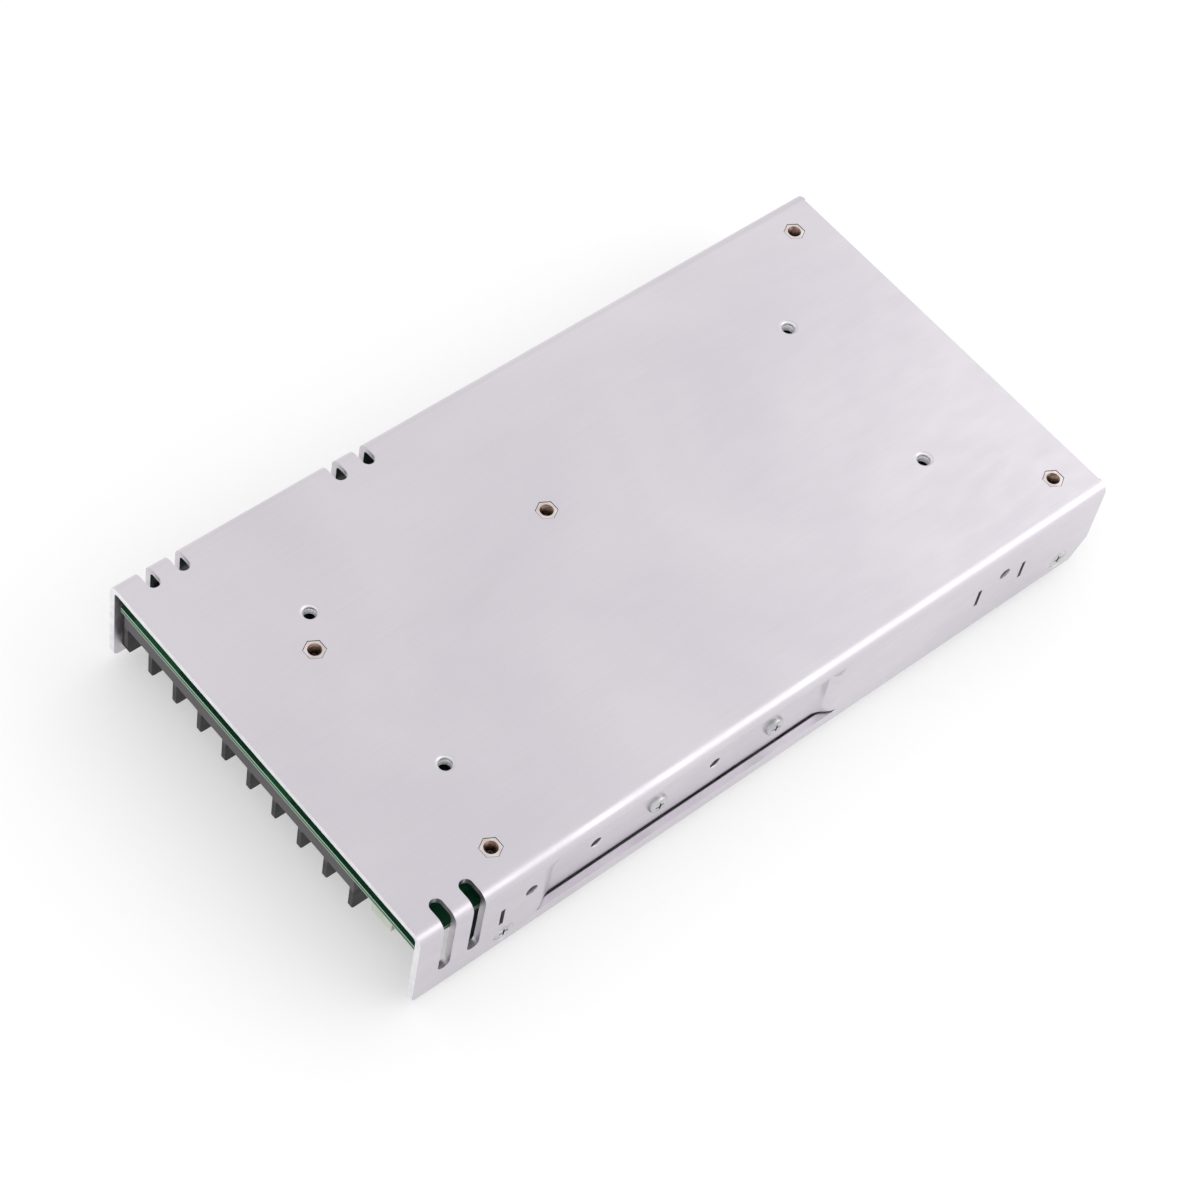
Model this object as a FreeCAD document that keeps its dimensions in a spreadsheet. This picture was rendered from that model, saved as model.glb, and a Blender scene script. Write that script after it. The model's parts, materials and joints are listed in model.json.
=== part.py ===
"""Enclosed 200 W power supply in a folded aluminium case with a perforated cover.

The supply lies on its perforated cover, with the base plate up, as it is photographed.
X runs along the case from the terminal end (-X) to the far end (+X), Y across it, Z up.
The origin is under the middle of the case, on the surface that it lies on. Millimetres.
"""
import FreeCAD, Part
import Sketcher
import math
import os
import re

NODES = []
doc = FreeCAD.newDocument("PowerSupply")

# Driving dimensions: alias, value in mm, meaning
SIZE_ROWS = [
    ("case_length", 215, "length over the long walls"),
    ("case_width", 115, "width over the long walls"),
    ("case_height", 30, "height from the cover's face to the base plate's face"),
    ("sheet", 1.8, "thickness of the chassis sheet"),
    ("bend_out", 3, "outer radius of the chassis bends"),
    ("wall_drop", 27.6, "height of the long walls, from the base plate's face"),
    ("base_relief", 1.8, "how far the base plate stops short of the far end"),
    ("corner_len", 4.5, "far lower corner of the long walls, cut along X"),
    ("corner_rise", 6.5, "far lower corner of the long walls, cut along Z"),
    ("front_round", 1.5, "radius of the front lower corners of the long walls"),
    ("mount_pitch_x", 150, "mounting holes in the base plate, pitch along X"),
    ("mount_pitch_y", 50, "mounting holes in the base plate, pitch along Y"),
    ("mount_bore", 3.3, "bore of the M4 mounting holes"),
    ("mount_mouth", 0.95, "radius of the drawn mouth of the mounting holes"),
    ("mount_collar", 6, "outer diameter of the extruded collars"),
    ("collar_depth", 1.6, "how far the collars stand in from the base plate"),
    ("side_hole_drop", 11, "M4 side holes, depth below the base plate's face"),
    ("vent_width", 3.4, "width of the vent slots that wrap over the bends"),
    ("vent_reach", 7, "how far the vent slots reach into the base plate"),
    ("vent_drop", 20.5, "how far the vent slots reach down the walls"),
    ("vent_front", 8.3, "first vent slot, distance from the terminal end"),
    ("vent_pitch", 8.3, "distance between the two vent slots of a pair"),
    ("vent_second", 62.2, "second pair in the selector's wall, from the terminal end"),
    ("slit_width", 1.2, "width of the small upright slots"),
    ("slit_length", 6.4, "length of the small upright slots"),
    ("slit_drop", 14.7, "middle of the small slots, below the base plate's face"),
    ("slit_front", 24.4, "slot near the terminal end, distance from that end"),
    ("slit_back_a", 25.6, "first slot near the far end, distance from that end"),
    ("slit_back_b", 40.7, "second slot near the far end, distance from that end"),
    ("recess_front", 36.5, "start of the drawn recess, distance from the terminal end"),
    ("recess_length", 91, "length of the drawn recess"),
    ("recess_depth", 2.3, "depth of the drawn recess"),
    ("recess_ramp", 3.5, "run of the recess's sloped ends"),
    ("recess_top", 5, "top of the recess, below the base plate's face"),
    ("recess_slope", 3, "run of the recess's sloped top"),
    ("recess_free", 23.2, "free lower edge of the recess, below the base plate's face"),
    ("strip_height", 3.8, "height of the flush strip under the recess"),
    ("recess_round", 0.8, "radius round the recess's drawn floor"),
    ("clamp_pitch", 36.3, "distance between the two clamp screws in the recess"),
    ("clamp_front", 35.7, "first clamp screw, distance from the recess's start"),
    ("clamp_drop", 14.8, "clamp screws, below the base plate's face"),
    ("spare_step", 18.2, "spare tapped holes, distance before each clamp screw"),
    ("screw_shank", 2.8, "diameter of the M3 screws' shanks"),
    ("screw_bore", 3.3, "clearance holes for the M3 screws"),
    ("tap_bore", 2.9, "tapped holes for the M3 screws"),
    ("flat_head", 5.6, "diameter of the countersunk heads"),
    ("pan_head", 5.6, "diameter of the pan heads"),
    ("pan_height", 1.8, "height of the pan heads"),
    ("drive_width", 0.7, "width of the cross recess in the screws"),
    ("drive_span", 3.2, "span of the cross recess in the screws"),
    ("drive_depth", 1, "depth of the cross recess in the screws"),
    ("cover_sheet", 1, "thickness of the perforated cover"),
    ("cover_gap", 0.2, "gap between the cover's flanges and the walls"),
    ("cover_front", 19.5, "cover's front edge, distance from the terminal end"),
    ("cover_bend", 1.5, "outer radius of the cover's bends"),
    ("flange_height", 11, "height of the cover's side flanges"),
    ("flange_low", 4.5, "height of the side flange beside the recess"),
    ("flange_margin", 3, "how far the low flange runs past the recess"),
    ("end_flange", 27, "height of the cover's end flange"),
    ("end_relief", 5.3, "relief at the cover's far corners, along X"),
    ("end_notch", 3.5, "relief at the cover's far corners, across"),
    ("cover_screw_z", 6.7, "height of the cover screws"),
    ("cover_screw_front", 26, "front cover screws, distance from the terminal end"),
    ("cover_screw_back", 9.7, "far cover screws, distance from the far end"),
    ("mesh_hole", 6.2, "hexagonal holes of the cover, across the flats"),
    ("mesh_web", 1.9, "web between the hexagonal holes"),
    ("mesh_border", 7, "plain border around the perforated field"),
    ("standoff_hex", 5.8, "standoff heads, across the flats"),
    ("standoff_body", 5, "diameter of the standoffs"),
    ("standoff_gap", 5.4, "room between the base plate and the circuit board"),
    ("standoff_far", 9.9, "far standoffs, distance from the far end"),
    ("standoff_near", 27.1, "near standoffs, distance from the terminal end"),
    ("standoff_side", 9.6, "side standoffs, distance from the long walls' faces"),
    ("standoff_mid_y", 16.1, "middle standoffs, Y"),
    ("standoff_mid_x", 96, "middle standoff, distance from the terminal end"),
    ("board_sheet", 1.6, "thickness of the circuit board"),
    ("board_inset", 1, "board's edge, distance from the terminal end"),
    ("board_end_gap", 2, "gap between the board and the cover's end flange"),
    ("board_side_gap", 1, "gap between the board and the long walls"),
    ("board_hole", 3.4, "screw holes of the circuit board"),
    ("film_sheet", 0.3, "thickness of the insulation sheet"),
    ("film_gap", 0.5, "room round the posts and collars in the insulation sheet"),
    ("film_border", 2.5, "insulation sheet, distance from the long walls"),
    ("film_front", 9, "insulation sheet, distance from the terminal end"),
    ("block_inset", 0.5, "terminal block's front, behind the board's edge"),
    ("block_depth", 17.5, "depth of the terminal block along X"),
    ("block_ledge", 5.4, "height of the terminal block's base"),
    ("block_back", 3.5, "thickness of the terminal block's back wall"),
    ("block_height", 18, "height of the terminal block's back wall"),
    ("block_side", 1.9, "terminal block's end, distance from the selector's wall"),
    ("terminal_pitch", 9.5, "pitch of the terminals"),
    ("terminal_room", 20, "least bare board beside the terminal block, across the case"),
    ("divider_sheet", 1.4, "thickness of the dividers"),
    ("divider_front", 13.4, "height of the dividers at their front"),
    ("divider_rear", 16.6, "height of the dividers at their rear"),
    ("divider_step", 6.5, "depth of the dividers' low front part"),
    ("divider_cut", 0.8, "cut corner of the dividers"),
    ("terminal_reach", 5.6, "terminal screws, distance from the block's front"),
    ("contact_sheet", 0.8, "thickness of the contact strips"),
    ("contact_width", 7.2, "width of the contact strips"),
    ("contact_length", 11, "length of the contact strips"),
    ("clamp_plate", 7, "side of the square wire clamps"),
    ("clamp_sheet", 1, "thickness of the wire clamps"),
    ("terminal_shank", 3.2, "diameter of the terminal screws' shanks"),
    ("terminal_head", 6.2, "diameter of the terminal screws' heads"),
    ("terminal_head_t", 2.2, "height of the terminal screws' heads"),
    ("terminal_bite", 3, "how far the terminal screws reach into the block"),
    ("contact_inset", 0.6, "contact strips, distance from the block's front"),
    ("running_gap", 0.1, "running gap of the moving pieces"),
    ("pivot_gap", 0.05, "radial gap of the trimmer's pivot"),
    ("trimmer_side", 7, "side of the trimmer's body"),
    ("trimmer_height", 8, "height of the trimmer's body"),
    ("trimmer_x", 6.5, "trimmer's middle, distance from the terminal end"),
    ("trimmer_y", 16, "trimmer's middle, distance from the recessed wall's face"),
    ("rotor_radius", 2.3, "radius of the trimmer's rotor"),
    ("rotor_sheet", 1.4, "thickness of the trimmer's rotor"),
    ("rotor_pin", 0.8, "radius of the rotor's pivot"),
    ("pivot_reach", 2, "how far the rotor's pivot reaches into the body"),
    ("lamp_radius", 1.5, "radius of the indicator lamp"),
    ("lamp_rim", 0.4, "width and height of the lamp's rim"),
    ("lamp_barrel", 4, "length of the lamp's straight part"),
    ("lamp_x", 6, "lamp's middle, distance from the terminal end"),
    ("lamp_y", 7, "lamp's middle, distance from the recessed wall's face"),
    ("selector_x", 47, "selector's middle, distance from the terminal end"),
    ("selector_length", 23, "length of the selector's body"),
    ("selector_depth", 8.6, "depth of the selector's body"),
    ("selector_height", 9.6, "height of the selector's body"),
    ("selector_gap", 0.4, "gap between the selector's body and the wall"),
    ("slider_width", 8, "width of the selector's slider"),
    ("slider_height", 6, "height of the selector's slider"),
    ("slider_travel", 5.5, "travel of the selector's slider"),
    ("slider_depth", 2.6, "depth of the slider's seat in its body"),
    ("groove_depth", 1, "depth of the groove in the slider"),
    ("window_gap", 0.3, "gap between the slider and its window"),
    ("slider_shy", 0.3, "how far the slider stays inside the wall's face"),
    ("pad_sheet", 0.3, "thickness of the thermal pads"),
    ("pad_margin", 0.5, "how far the thermal pads run past the devices"),
    ("device_width", 10, "width of the power devices"),
    ("device_depth", 4.6, "thickness of the power devices"),
    ("device_height", 15.5, "height of the power devices"),
    ("lead_drop", 2, "length of the devices' bare leads"),
    ("clamp_bar", 1.2, "thickness of the clamp bars"),
    ("device_tap", 3, "hole of the power devices, from their free end"),
    ("device_step", 9, "distance of the rectifiers from their clamp screw"),
    ("lead_pitch", 2.54, "pitch of the devices' leads"),
    ("lead_width", 0.8, "width of the devices' leads"),
    ("lead_sheet", 0.6, "thickness of the devices' leads"),
    ("lead_round", 0.4, "radius of the round leads"),
    ("clamp_bar_span", 22, "length of the clamp bars"),
    ("clamp_bar_rise", 8, "height of the clamp bars"),
    ("part_clear", 1.8, "room between the tallest components and the cover"),
    ("sink_back", 63.5, "heatsink's near end, distance from the far end"),
    ("sink_length", 46, "length of the heatsink"),
    ("sink_side", 12.2, "heatsink's face, distance from the selector's wall"),
    ("sink_sheet", 2.5, "thickness of the heatsink"),
    ("sink_foot", 9, "width of the heatsink's foot"),
    ("transistor_back", 51.5, "first power transistor, distance from the far end"),
    ("transistor_pitch", 22, "distance between the power transistors"),
    ("line_front", 47.5, "line choke's middle, distance from the terminal end"),
    ("line_side", 27.7, "line choke's middle, distance from the selector's wall"),
    ("line_radius", 10.5, "radius of the line choke's core"),
    ("line_bore", 5.5, "radius of the line choke's bore"),
    ("line_core", 9, "height of the line choke's core"),
    ("line_wire", 1.5, "thickness of the line choke's windings"),
    ("line_arc", 150, "angle that each winding of the line choke covers"),
    ("smooth_share", 0.04, "output choke's middle along the case, as a share of half its length"),
    ("smooth_side", 16, "output choke's middle, distance from the case's middle line"),
    ("smooth_radius", 13, "radius of the output choke's core"),
    ("smooth_bore", 7, "radius of the output choke's bore"),
    ("smooth_core", 11, "height of the output choke's core"),
    ("smooth_wire", 1.6, "thickness of the output choke's winding"),
    ("smooth_arc", 330, "angle that the output choke's winding covers"),
    ("core_back", 49.5, "transformer's middle, distance from the far end"),
    ("core_side", 2, "transformer's middle, distance from the case's middle line"),
    ("core_height", 12, "height of the transformer's core"),
    ("core_leg", 10, "width of the transformer's middle leg"),
    ("core_window", 8.6, "width of the transformer's windows"),
    ("core_span", 24, "length of the transformer's windows"),
    ("core_yoke", 5, "width of the transformer's outer limbs"),
    ("bobbin_wall", 0.8, "thickness of the bobbin's tube"),
    ("bobbin_flange", 1.2, "thickness of the bobbin's flanges"),
    ("winding_round", 3, "radius of the winding's corners"),
    ("helper_back", 19.5, "auxiliary transformer's middle, distance from the far end"),
    ("helper_side", 31.7, "auxiliary transformer's middle, distance from the selector's wall"),
    ("helper_length", 16, "length of the auxiliary transformer"),
    ("helper_width", 15.8, "width of the auxiliary transformer"),
    ("helper_height", 14, "height of the auxiliary transformer"),
    ("helper_yoke", 3.4, "width of the auxiliary transformer's limbs"),
    ("fuse_front", 21.5, "fuse's near end, distance from the terminal end"),
    ("fuse_side", 14.7, "fuse's middle, distance from the selector's wall"),
    ("fuse_length", 20, "length of the fuse"),
    ("fuse_radius", 2.6, "radius of the fuse"),
    ("fuse_drop", 4, "fuse's axis, below the board"),
    ("clip_length", 5, "length of the fuse clips"),
    ("clip_inset", 1.2, "fuse clips, distance from the fuse's ends"),
    ("clip_width", 6.8, "width of the fuse clips"),
    ("clip_height", 7, "height of the fuse clips"),
    ("clip_mouth", 4.6, "width of the fuse clips' mouths"),
    ("disc_stand", 1.5, "room between the disc parts and the board"),
    ("thermistor_front", 49, "thermistor's middle, distance from the terminal end"),
    ("thermistor_side", 12, "thermistor's middle, distance from the selector's wall"),
    ("thermistor_radius", 6.4, "radius of the thermistor"),
    ("thermistor_sheet", 4, "thickness of the thermistor"),
    ("varistor_front", 65.5, "varistor's middle, distance from the terminal end"),
    ("varistor_side", 19.7, "varistor's middle, distance from the selector's wall"),
    ("varistor_radius", 6, "radius of the varistor"),
    ("varistor_sheet", 4, "thickness of the varistor"),
    ("x_cap_front", 75.5, "line capacitor's middle, distance from the terminal end"),
    ("x_cap_side", 27.7, "line capacitor's middle, distance from the selector's wall"),
    ("x_cap_length", 18, "length of the line capacitor"),
    ("x_cap_width", 8.5, "width of the line capacitor"),
    ("x_cap_height", 15, "height of the line capacitor"),
    ("y_cap_radius", 3.8, "radius of the disc capacitors"),
    ("y_cap_sheet", 3, "thickness of the disc capacitors"),
    ("y_cap_front", 31.5, "first disc capacitors, distance from the terminal end"),
    ("y_cap_side", 27.7, "first disc capacitor, distance from the selector's wall"),
    ("y_cap_pitch", 5.5, "distance between the first two disc capacitors"),
    ("y_cap_far", 64.5, "third disc capacitor, distance from the terminal end"),
    ("y_cap_far_side", 40, "third disc capacitor, distance from the selector's wall"),
    ("bridge_length", 22, "length of the bridge rectifier"),
    ("bridge_sheet", 3.8, "thickness of the bridge rectifier"),
    ("bridge_height", 16, "height of the bridge rectifier's body"),
    ("bridge_side", 11.7, "bridge rectifier's middle, distance from the selector's wall"),
    ("bridge_gap", 12.8, "bridge rectifier's end, distance from the first bulk capacitor's middle"),
    ("bridge_pitch", 5, "pitch of the bridge rectifier's leads"),
    ("bulk_share", 0.23, "second bulk capacitor along the case, as a share of half its length"),
    ("bulk_pitch", 22, "distance between the bulk capacitors"),
    ("bulk_side", 17.7, "bulk capacitors' middle, distance from the selector's wall"),
    ("bulk_radius", 10.5, "radius of the bulk capacitors"),
    ("can_front", 41.5, "first output capacitors, distance from the terminal end"),
    ("can_side", 12, "first row of output capacitors, distance from the case's middle line"),
    ("can_pitch", 12, "distance between the output capacitors"),
    ("can_radius", 5, "radius of the output capacitors"),
    ("can_groove", 0.9, "radius of the crimped groove of the cans"),
    ("can_rise", 2.5, "crimped groove, distance from the board"),
    ("small_radius", 3.15, "radius of the small capacitors"),
    ("small_height", 11, "height of the small capacitors"),
    ("snubber_share", 0.31, "snubber capacitor along the case, as a share of half its length"),
    ("snubber_side", 34, "snubber capacitor, distance from the case's middle line"),
    ("snubber_length", 13, "length of the snubber capacitor"),
    ("snubber_width", 6, "width of the snubber capacitor"),
    ("resistor_back", 51.5, "power resistors' near end, distance from the far end"),
    ("resistor_side", 34, "first power resistor, distance from the case's middle line"),
    ("resistor_pitch", 8, "distance between the power resistors"),
    ("resistor_length", 15, "length of the power resistors"),
    ("resistor_radius", 2.5, "radius of the power resistors"),
    ("resistor_drop", 3.5, "power resistors' axis, below the board"),
    ("chip_width", 6.4, "width of the chips' bodies"),
    ("chip_height", 3.4, "height of the chips' bodies"),
    ("chip_stand", 0.6, "room between the chips' bodies and the board"),
    ("chip_leg", 0.5, "thickness of the chips' legs"),
    ("chip_length", 9.6, "length of the control chips"),
    ("coupler_length", 4.6, "length of the optocouplers"),
]

# Places worked out from the driving dimensions
PLACE_ROWS = [
    ("end_x", "case_length / 2"),
    ("side_y", "case_width / 2"),
    ("wall_in", "side_y - sheet"),
    ("wall_edge", "case_height - wall_drop"),
    ("base_in", "case_height - sheet"),
    ("base_end", "end_x - base_relief"),
    ("solder_z", "base_in - standoff_gap"),
    ("parts_z", "solder_z - board_sheet"),
    ("parts_low", "cover_sheet + part_clear"),
    ("parts_room", "parts_z - parts_low"),
    ("cover_side", "wall_in - cover_gap"),
    ("cover_end", "end_x - cover_gap"),
    ("cover_x", "-end_x + cover_front"),
    ("cover_screw_xa", "-end_x + cover_screw_front"),
    ("cover_screw_xb", "end_x - cover_screw_back"),
    ("board_x", "-end_x + board_inset"),
    ("board_end", "cover_end - cover_sheet - board_end_gap"),
    ("board_y", "wall_in - board_side_gap"),
    ("recess_x", "-end_x + recess_front"),
    ("recess_end", "recess_x + recess_length"),
    ("recess_high", "case_height - recess_top"),
    ("recess_edge", "case_height - recess_free"),
    ("recess_out", "side_y - recess_depth"),
    ("recess_in", "wall_in - recess_depth"),
    ("strip_top", "wall_edge + strip_height"),
    ("clamp_x", "recess_x + clamp_front"),
    ("clamp_z", "case_height - clamp_drop"),
    ("stand_xa", "-end_x + standoff_near"),
    ("stand_xb", "-end_x + standoff_mid_x"),
    ("stand_xc", "end_x - standoff_far"),
    ("stand_y", "side_y - standoff_side"),
    ("block_x", "board_x + block_inset"),
    ("block_rear", "block_x + block_depth"),
    ("block_y", "wall_in - block_side"),
    ("block_span", "2 * wall_in - block_side - divider_sheet - terminal_room"),
    ("terminal_places", "floor(block_span / terminal_pitch)"),
    ("block_length", "terminal_pitch * terminal_places + divider_sheet"),
    ("ledge_z", "parts_z - block_ledge"),
    ("contact_z", "ledge_z - contact_sheet"),
    ("clamp_face", "contact_z - clamp_sheet"),
    ("terminal_x", "block_x + terminal_reach"),
    ("trimmer_mid_x", "-end_x + trimmer_x"),
    ("trimmer_mid_y", "-side_y + trimmer_y"),
    ("trimmer_face", "parts_z - trimmer_height"),
    ("lamp_mid_x", "-end_x + lamp_x"),
    ("lamp_mid_y", "-side_y + lamp_y"),
    ("selector_mid", "-end_x + selector_x"),
    ("selector_face", "wall_in - selector_gap"),
    ("selector_z", "parts_z - selector_height / 2"),
    ("seat_width", "slider_width + slider_travel + 2 * running_gap"),
    ("device_top", "parts_z - lead_drop"),
    ("device_hole_z", "device_top - device_height + device_tap"),
    ("sink_x", "end_x - sink_back"),
    ("sink_y", "wall_in - sink_side"),
    ("line_x", "-end_x + line_front"),
    ("line_y", "wall_in - line_side"),
    ("smooth_x", "end_x * smooth_share"),
    ("core_x", "end_x - core_back"),
    ("core_width", "core_leg + 2 * core_window"),
    ("core_low", "parts_z - parts_room / 2 - core_height / 2"),
    ("helper_x", "end_x - helper_back"),
    ("helper_y", "wall_in - helper_side"),
    ("fuse_x", "-end_x + fuse_front"),
    ("fuse_y", "wall_in - fuse_side"),
    ("fuse_z", "parts_z - fuse_drop"),
    ("bulk_x", "end_x * bulk_share - bulk_pitch"),
    ("bridge_x", "bulk_x - bridge_gap - bridge_length / 2"),
    ("bridge_y", "wall_in - bridge_side"),
    ("resistor_x", "end_x - resistor_back"),
]


def fill_sheet():
    """Write the driving dimensions into the spreadsheet and give each its alias."""
    sheet = doc.addObject("Spreadsheet::Sheet", "Sizes")
    for row, (alias, size, meaning) in enumerate(SIZE_ROWS, start=1):
        sheet.set(f"A{row}", alias)
        sheet.set(f"B{row}", str(size))
        sheet.setAlias(f"B{row}", alias)
        sheet.set(f"C{row}", meaning)
    doc.recompute()
    return sheet


SIZE_NAMES = {row[0] for row in SIZE_ROWS}
PLACE_NAMES = {row[0] for row in PLACE_ROWS}


def formula(text):
    """Name the holder of each size and place in a formula, as the document's expressions need."""
    def with_holder(match):
        word = match.group(0)
        if word in SIZE_NAMES:
            return "Sizes." + word
        if word in PLACE_NAMES:
            return "Places." + word
        return word
    return re.sub(r"[a-z_]\w*", with_holder, str(text))


def fill_places():
    """Hold the places that follow from the driving dimensions, each bound to its formula."""
    places = doc.addObject("App::VarSet", "Places")
    for name, text in PLACE_ROWS:
        places.addProperty("App::PropertyFloat", name, "Worked out")
        places.setExpression(name, formula(text))
    doc.recompute()
    return places


sizes = fill_sheet()
places = fill_places()


def value(text):
    """The number that a formula of sizes and places comes to."""
    return float(places.evalExpression(formula(text)))


def bind(item, **formulas):
    """Bind properties of an object to formulas of sizes and places."""
    for name, text in formulas.items():
        item.setExpression(name, formula(text))


def stand(item, at, turn=None):
    """Place an object at three formulas, turned as asked."""
    if turn is not None:
        item.Placement = FreeCAD.Placement(FreeCAD.Vector(0, 0, 0), turn)
    for axis, text in zip("xyz", at):
        item.setExpression("Placement.Base." + axis, formula(text))
    return item


TOWARDS = {
    "+x": FreeCAD.Vector(1, 0, 0), "-x": FreeCAD.Vector(-1, 0, 0),
    "+y": FreeCAD.Vector(0, 1, 0), "-y": FreeCAD.Vector(0, -1, 0),
    "+z": FreeCAD.Vector(0, 0, 1), "-z": FreeCAD.Vector(0, 0, -1),
}


def facing(way):
    """The turn that points an object's own Z axis one way."""
    return FreeCAD.Rotation(FreeCAD.Vector(0, 0, 1), TOWARDS[way])


def box(name, size, at):
    """A block from its three lengths and its lowest corner."""
    item = doc.addObject("Part::Box", name)
    bind(item, Length=size[0], Width=size[1], Height=size[2])
    return stand(item, at)


def middle_box(name, size, at):
    """A block from its three lengths, the middle of its footprint and its lowest height."""
    low = (f"({at[0]}) - ({size[0]}) / 2", f"({at[1]}) - ({size[1]}) / 2", at[2])
    return box(name, size, low)


def rod(name, radius, length, at, way="+z", angle=None):
    """A round rod from the middle of its first end."""
    item = doc.addObject("Part::Cylinder", name)
    bind(item, Radius=radius, Height=length)
    if angle is not None:
        item.Angle = angle
    return stand(item, at, facing(way))


def taper(name, first, last, length, at, way="+z"):
    """A cone from the middle of its first end."""
    item = doc.addObject("Part::Cone", name)
    bind(item, Radius1=first, Radius2=last, Height=length)
    return stand(item, at, facing(way))


def joined(name, items):
    """Objects fused into one solid."""
    item = doc.addObject("Part::MultiFuse", name)
    item.Shapes = items
    item.Refine = True
    return item


def together(name, items):
    """Separate solids held as one group."""
    item = doc.addObject("Part::Compound", name)
    item.Links = items
    return item


def without(name, base, tools):
    """One object with others cut away from it."""
    tool = tools[0]
    if len(tools) > 1:
        tool = together(name + "_tools", tools)
    item = doc.addObject("Part::Cut", name)
    item.Base = base
    item.Tool = tool
    item.Refine = True
    return item


def prism(name, across, length, at):
    """An upright hexagonal prism from its size across the flats."""
    item = doc.addObject("Part::Prism", name)
    item.Polygon = 6
    bind(item, Circumradius=f"({across}) / sqrt(3)", Height=length)
    return stand(item, at)


def node(label, item):
    """Give a finished sub-part its label and note it for export."""
    item.Label = label
    NODES.append(item)
    return item


def origin_feature(body, role):
    """A plane or an axis of a body's own origin."""
    return next(item for item in body.Origin.OriginFeatures if item.Role == role)


def outline(body, name, role, points, offset="0"):
    """A closed polygon sketched on a plane of the body, each corner bound to its formulas."""
    sketch = body.newObject("Sketcher::SketchObject", name)
    sketch.AttachmentSupport = (origin_feature(body, role), [""])
    sketch.MapMode = "FlatFace"
    sketch.setExpression("AttachmentOffset.Base.z", formula(offset))
    corners = [FreeCAD.Vector(value(across), value(along), 0) for across, along in points]
    count = len(corners)
    for index, corner in enumerate(corners):
        sketch.addGeometry(Part.LineSegment(corner, corners[(index + 1) % count]), False)
    for index in range(count):
        sketch.addConstraint(Sketcher.Constraint("Coincident", index, 2, (index + 1) % count, 1))
    for index, point in enumerate(points):
        for kind, text, size in zip(("DistanceX", "DistanceY"), point, corners[index]):
            made = sketch.addConstraint(Sketcher.Constraint(kind, -1, 1, index, 1, size))
            sketch.setExpression(f"Constraints[{made}]", formula(text))
    return sketch


def pad(body, name, sketch, length, both_ways=False):
    """A pad of a sketch, to one side or to both."""
    item = body.newObject("PartDesign::Pad", name)
    item.Profile = sketch
    if both_ways:
        item.SideType = "Symmetric"
    bind(item, Length=length)
    doc.recompute()
    return item


def edges_where(shape, test, along=None):
    """Names of the edges whose ends both pass a test of x, y and z, and that run along an axis if asked."""
    found = []
    for number, edge in enumerate(shape.Edges, start=1):
        if along is not None:
            ends = edge.BoundBox
            spans = {"x": ends.XLength, "y": ends.YLength, "z": ends.ZLength}
            if any(span > 1e-3 for axis, span in spans.items() if axis != along):
                continue
        if all(test(vertex.X, vertex.Y, vertex.Z) for vertex in edge.Vertexes):
            found.append(f"Edge{number}")
    return found


def near(first, second):
    """Whether two lengths are the same."""
    return abs(first - second) < 1e-4


def rounded(body, name, base, edges, radius):
    """A fillet of a body's edges, bound to its radius."""
    item = body.newObject("PartDesign::Fillet", name)
    item.Base = (base, edges)
    bind(item, Radius=radius)
    doc.recompute()
    return item


def flat_screw(name, at, way, length):
    """A countersunk screw: its head's face is at the given point, its tip points the given way."""
    cone_height = "(flat_head - screw_shank) / 2"
    head = taper(name + "_head", "flat_head / 2", "screw_shank / 2", cone_height, ("0", "0", "0"))
    shank = rod(name + "_shank", "screw_shank / 2", length, ("0", "0", "0"))
    return driven(name, joined(name + "_blank", [head, shank]), at, way)


def pan_screw(name, at, way, length, head="pan_head", height="pan_height", shank="screw_shank"):
    """A pan-head screw: its head's seat is at the given point, its tip points the given way."""
    top = rod(name + "_head", f"{head} / 2", height, ("0", "0", "0"))
    stem = rod(name + "_shank", f"{shank} / 2", f"{height} + {length}", ("0", "0", "0"))
    screw = driven(name, joined(name + "_blank", [top, stem]), at, way)
    back = TOWARDS[way] * -1
    for axis, text, share in zip("xyz", at, back):
        screw.setExpression("Placement.Base." + axis, formula(f"{text} + {share:.0f} * {height}"))
    return screw


def driven(name, blank, at, way):
    """A screw blank with its cross recess, put in its place."""
    arms = [
        middle_box(name + "_arm_a", ("drive_span", "drive_width", "drive_depth"), ("0", "0", "0")),
        middle_box(name + "_arm_b", ("drive_width", "drive_span", "drive_depth"), ("0", "0", "0")),
    ]
    return stand(without(name, blank, [joined(name + "_cross", arms)]), at, facing(way))


STANDOFF_SPOTS = [
    ("stand_xa", "-stand_y"),
    ("stand_xa", "standoff_mid_y"),
    ("stand_xb", "standoff_mid_y"),
    ("stand_xc", "-stand_y"),
    ("stand_xc", "stand_y"),
]
MOUNT_SPOTS = [
    (f"{along} * mount_pitch_x / 2", f"{across} * mount_pitch_y / 2")
    for along in (-1, 1) for across in (-1, 1)
]
CLAMP_SPOTS = ["clamp_x", "clamp_x + clamp_pitch"]
COVER_SCREW_SPOTS = [(x, side) for x in ("cover_screw_xa", "cover_screw_xb") for side in (-1, 1)]


# Chassis

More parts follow.
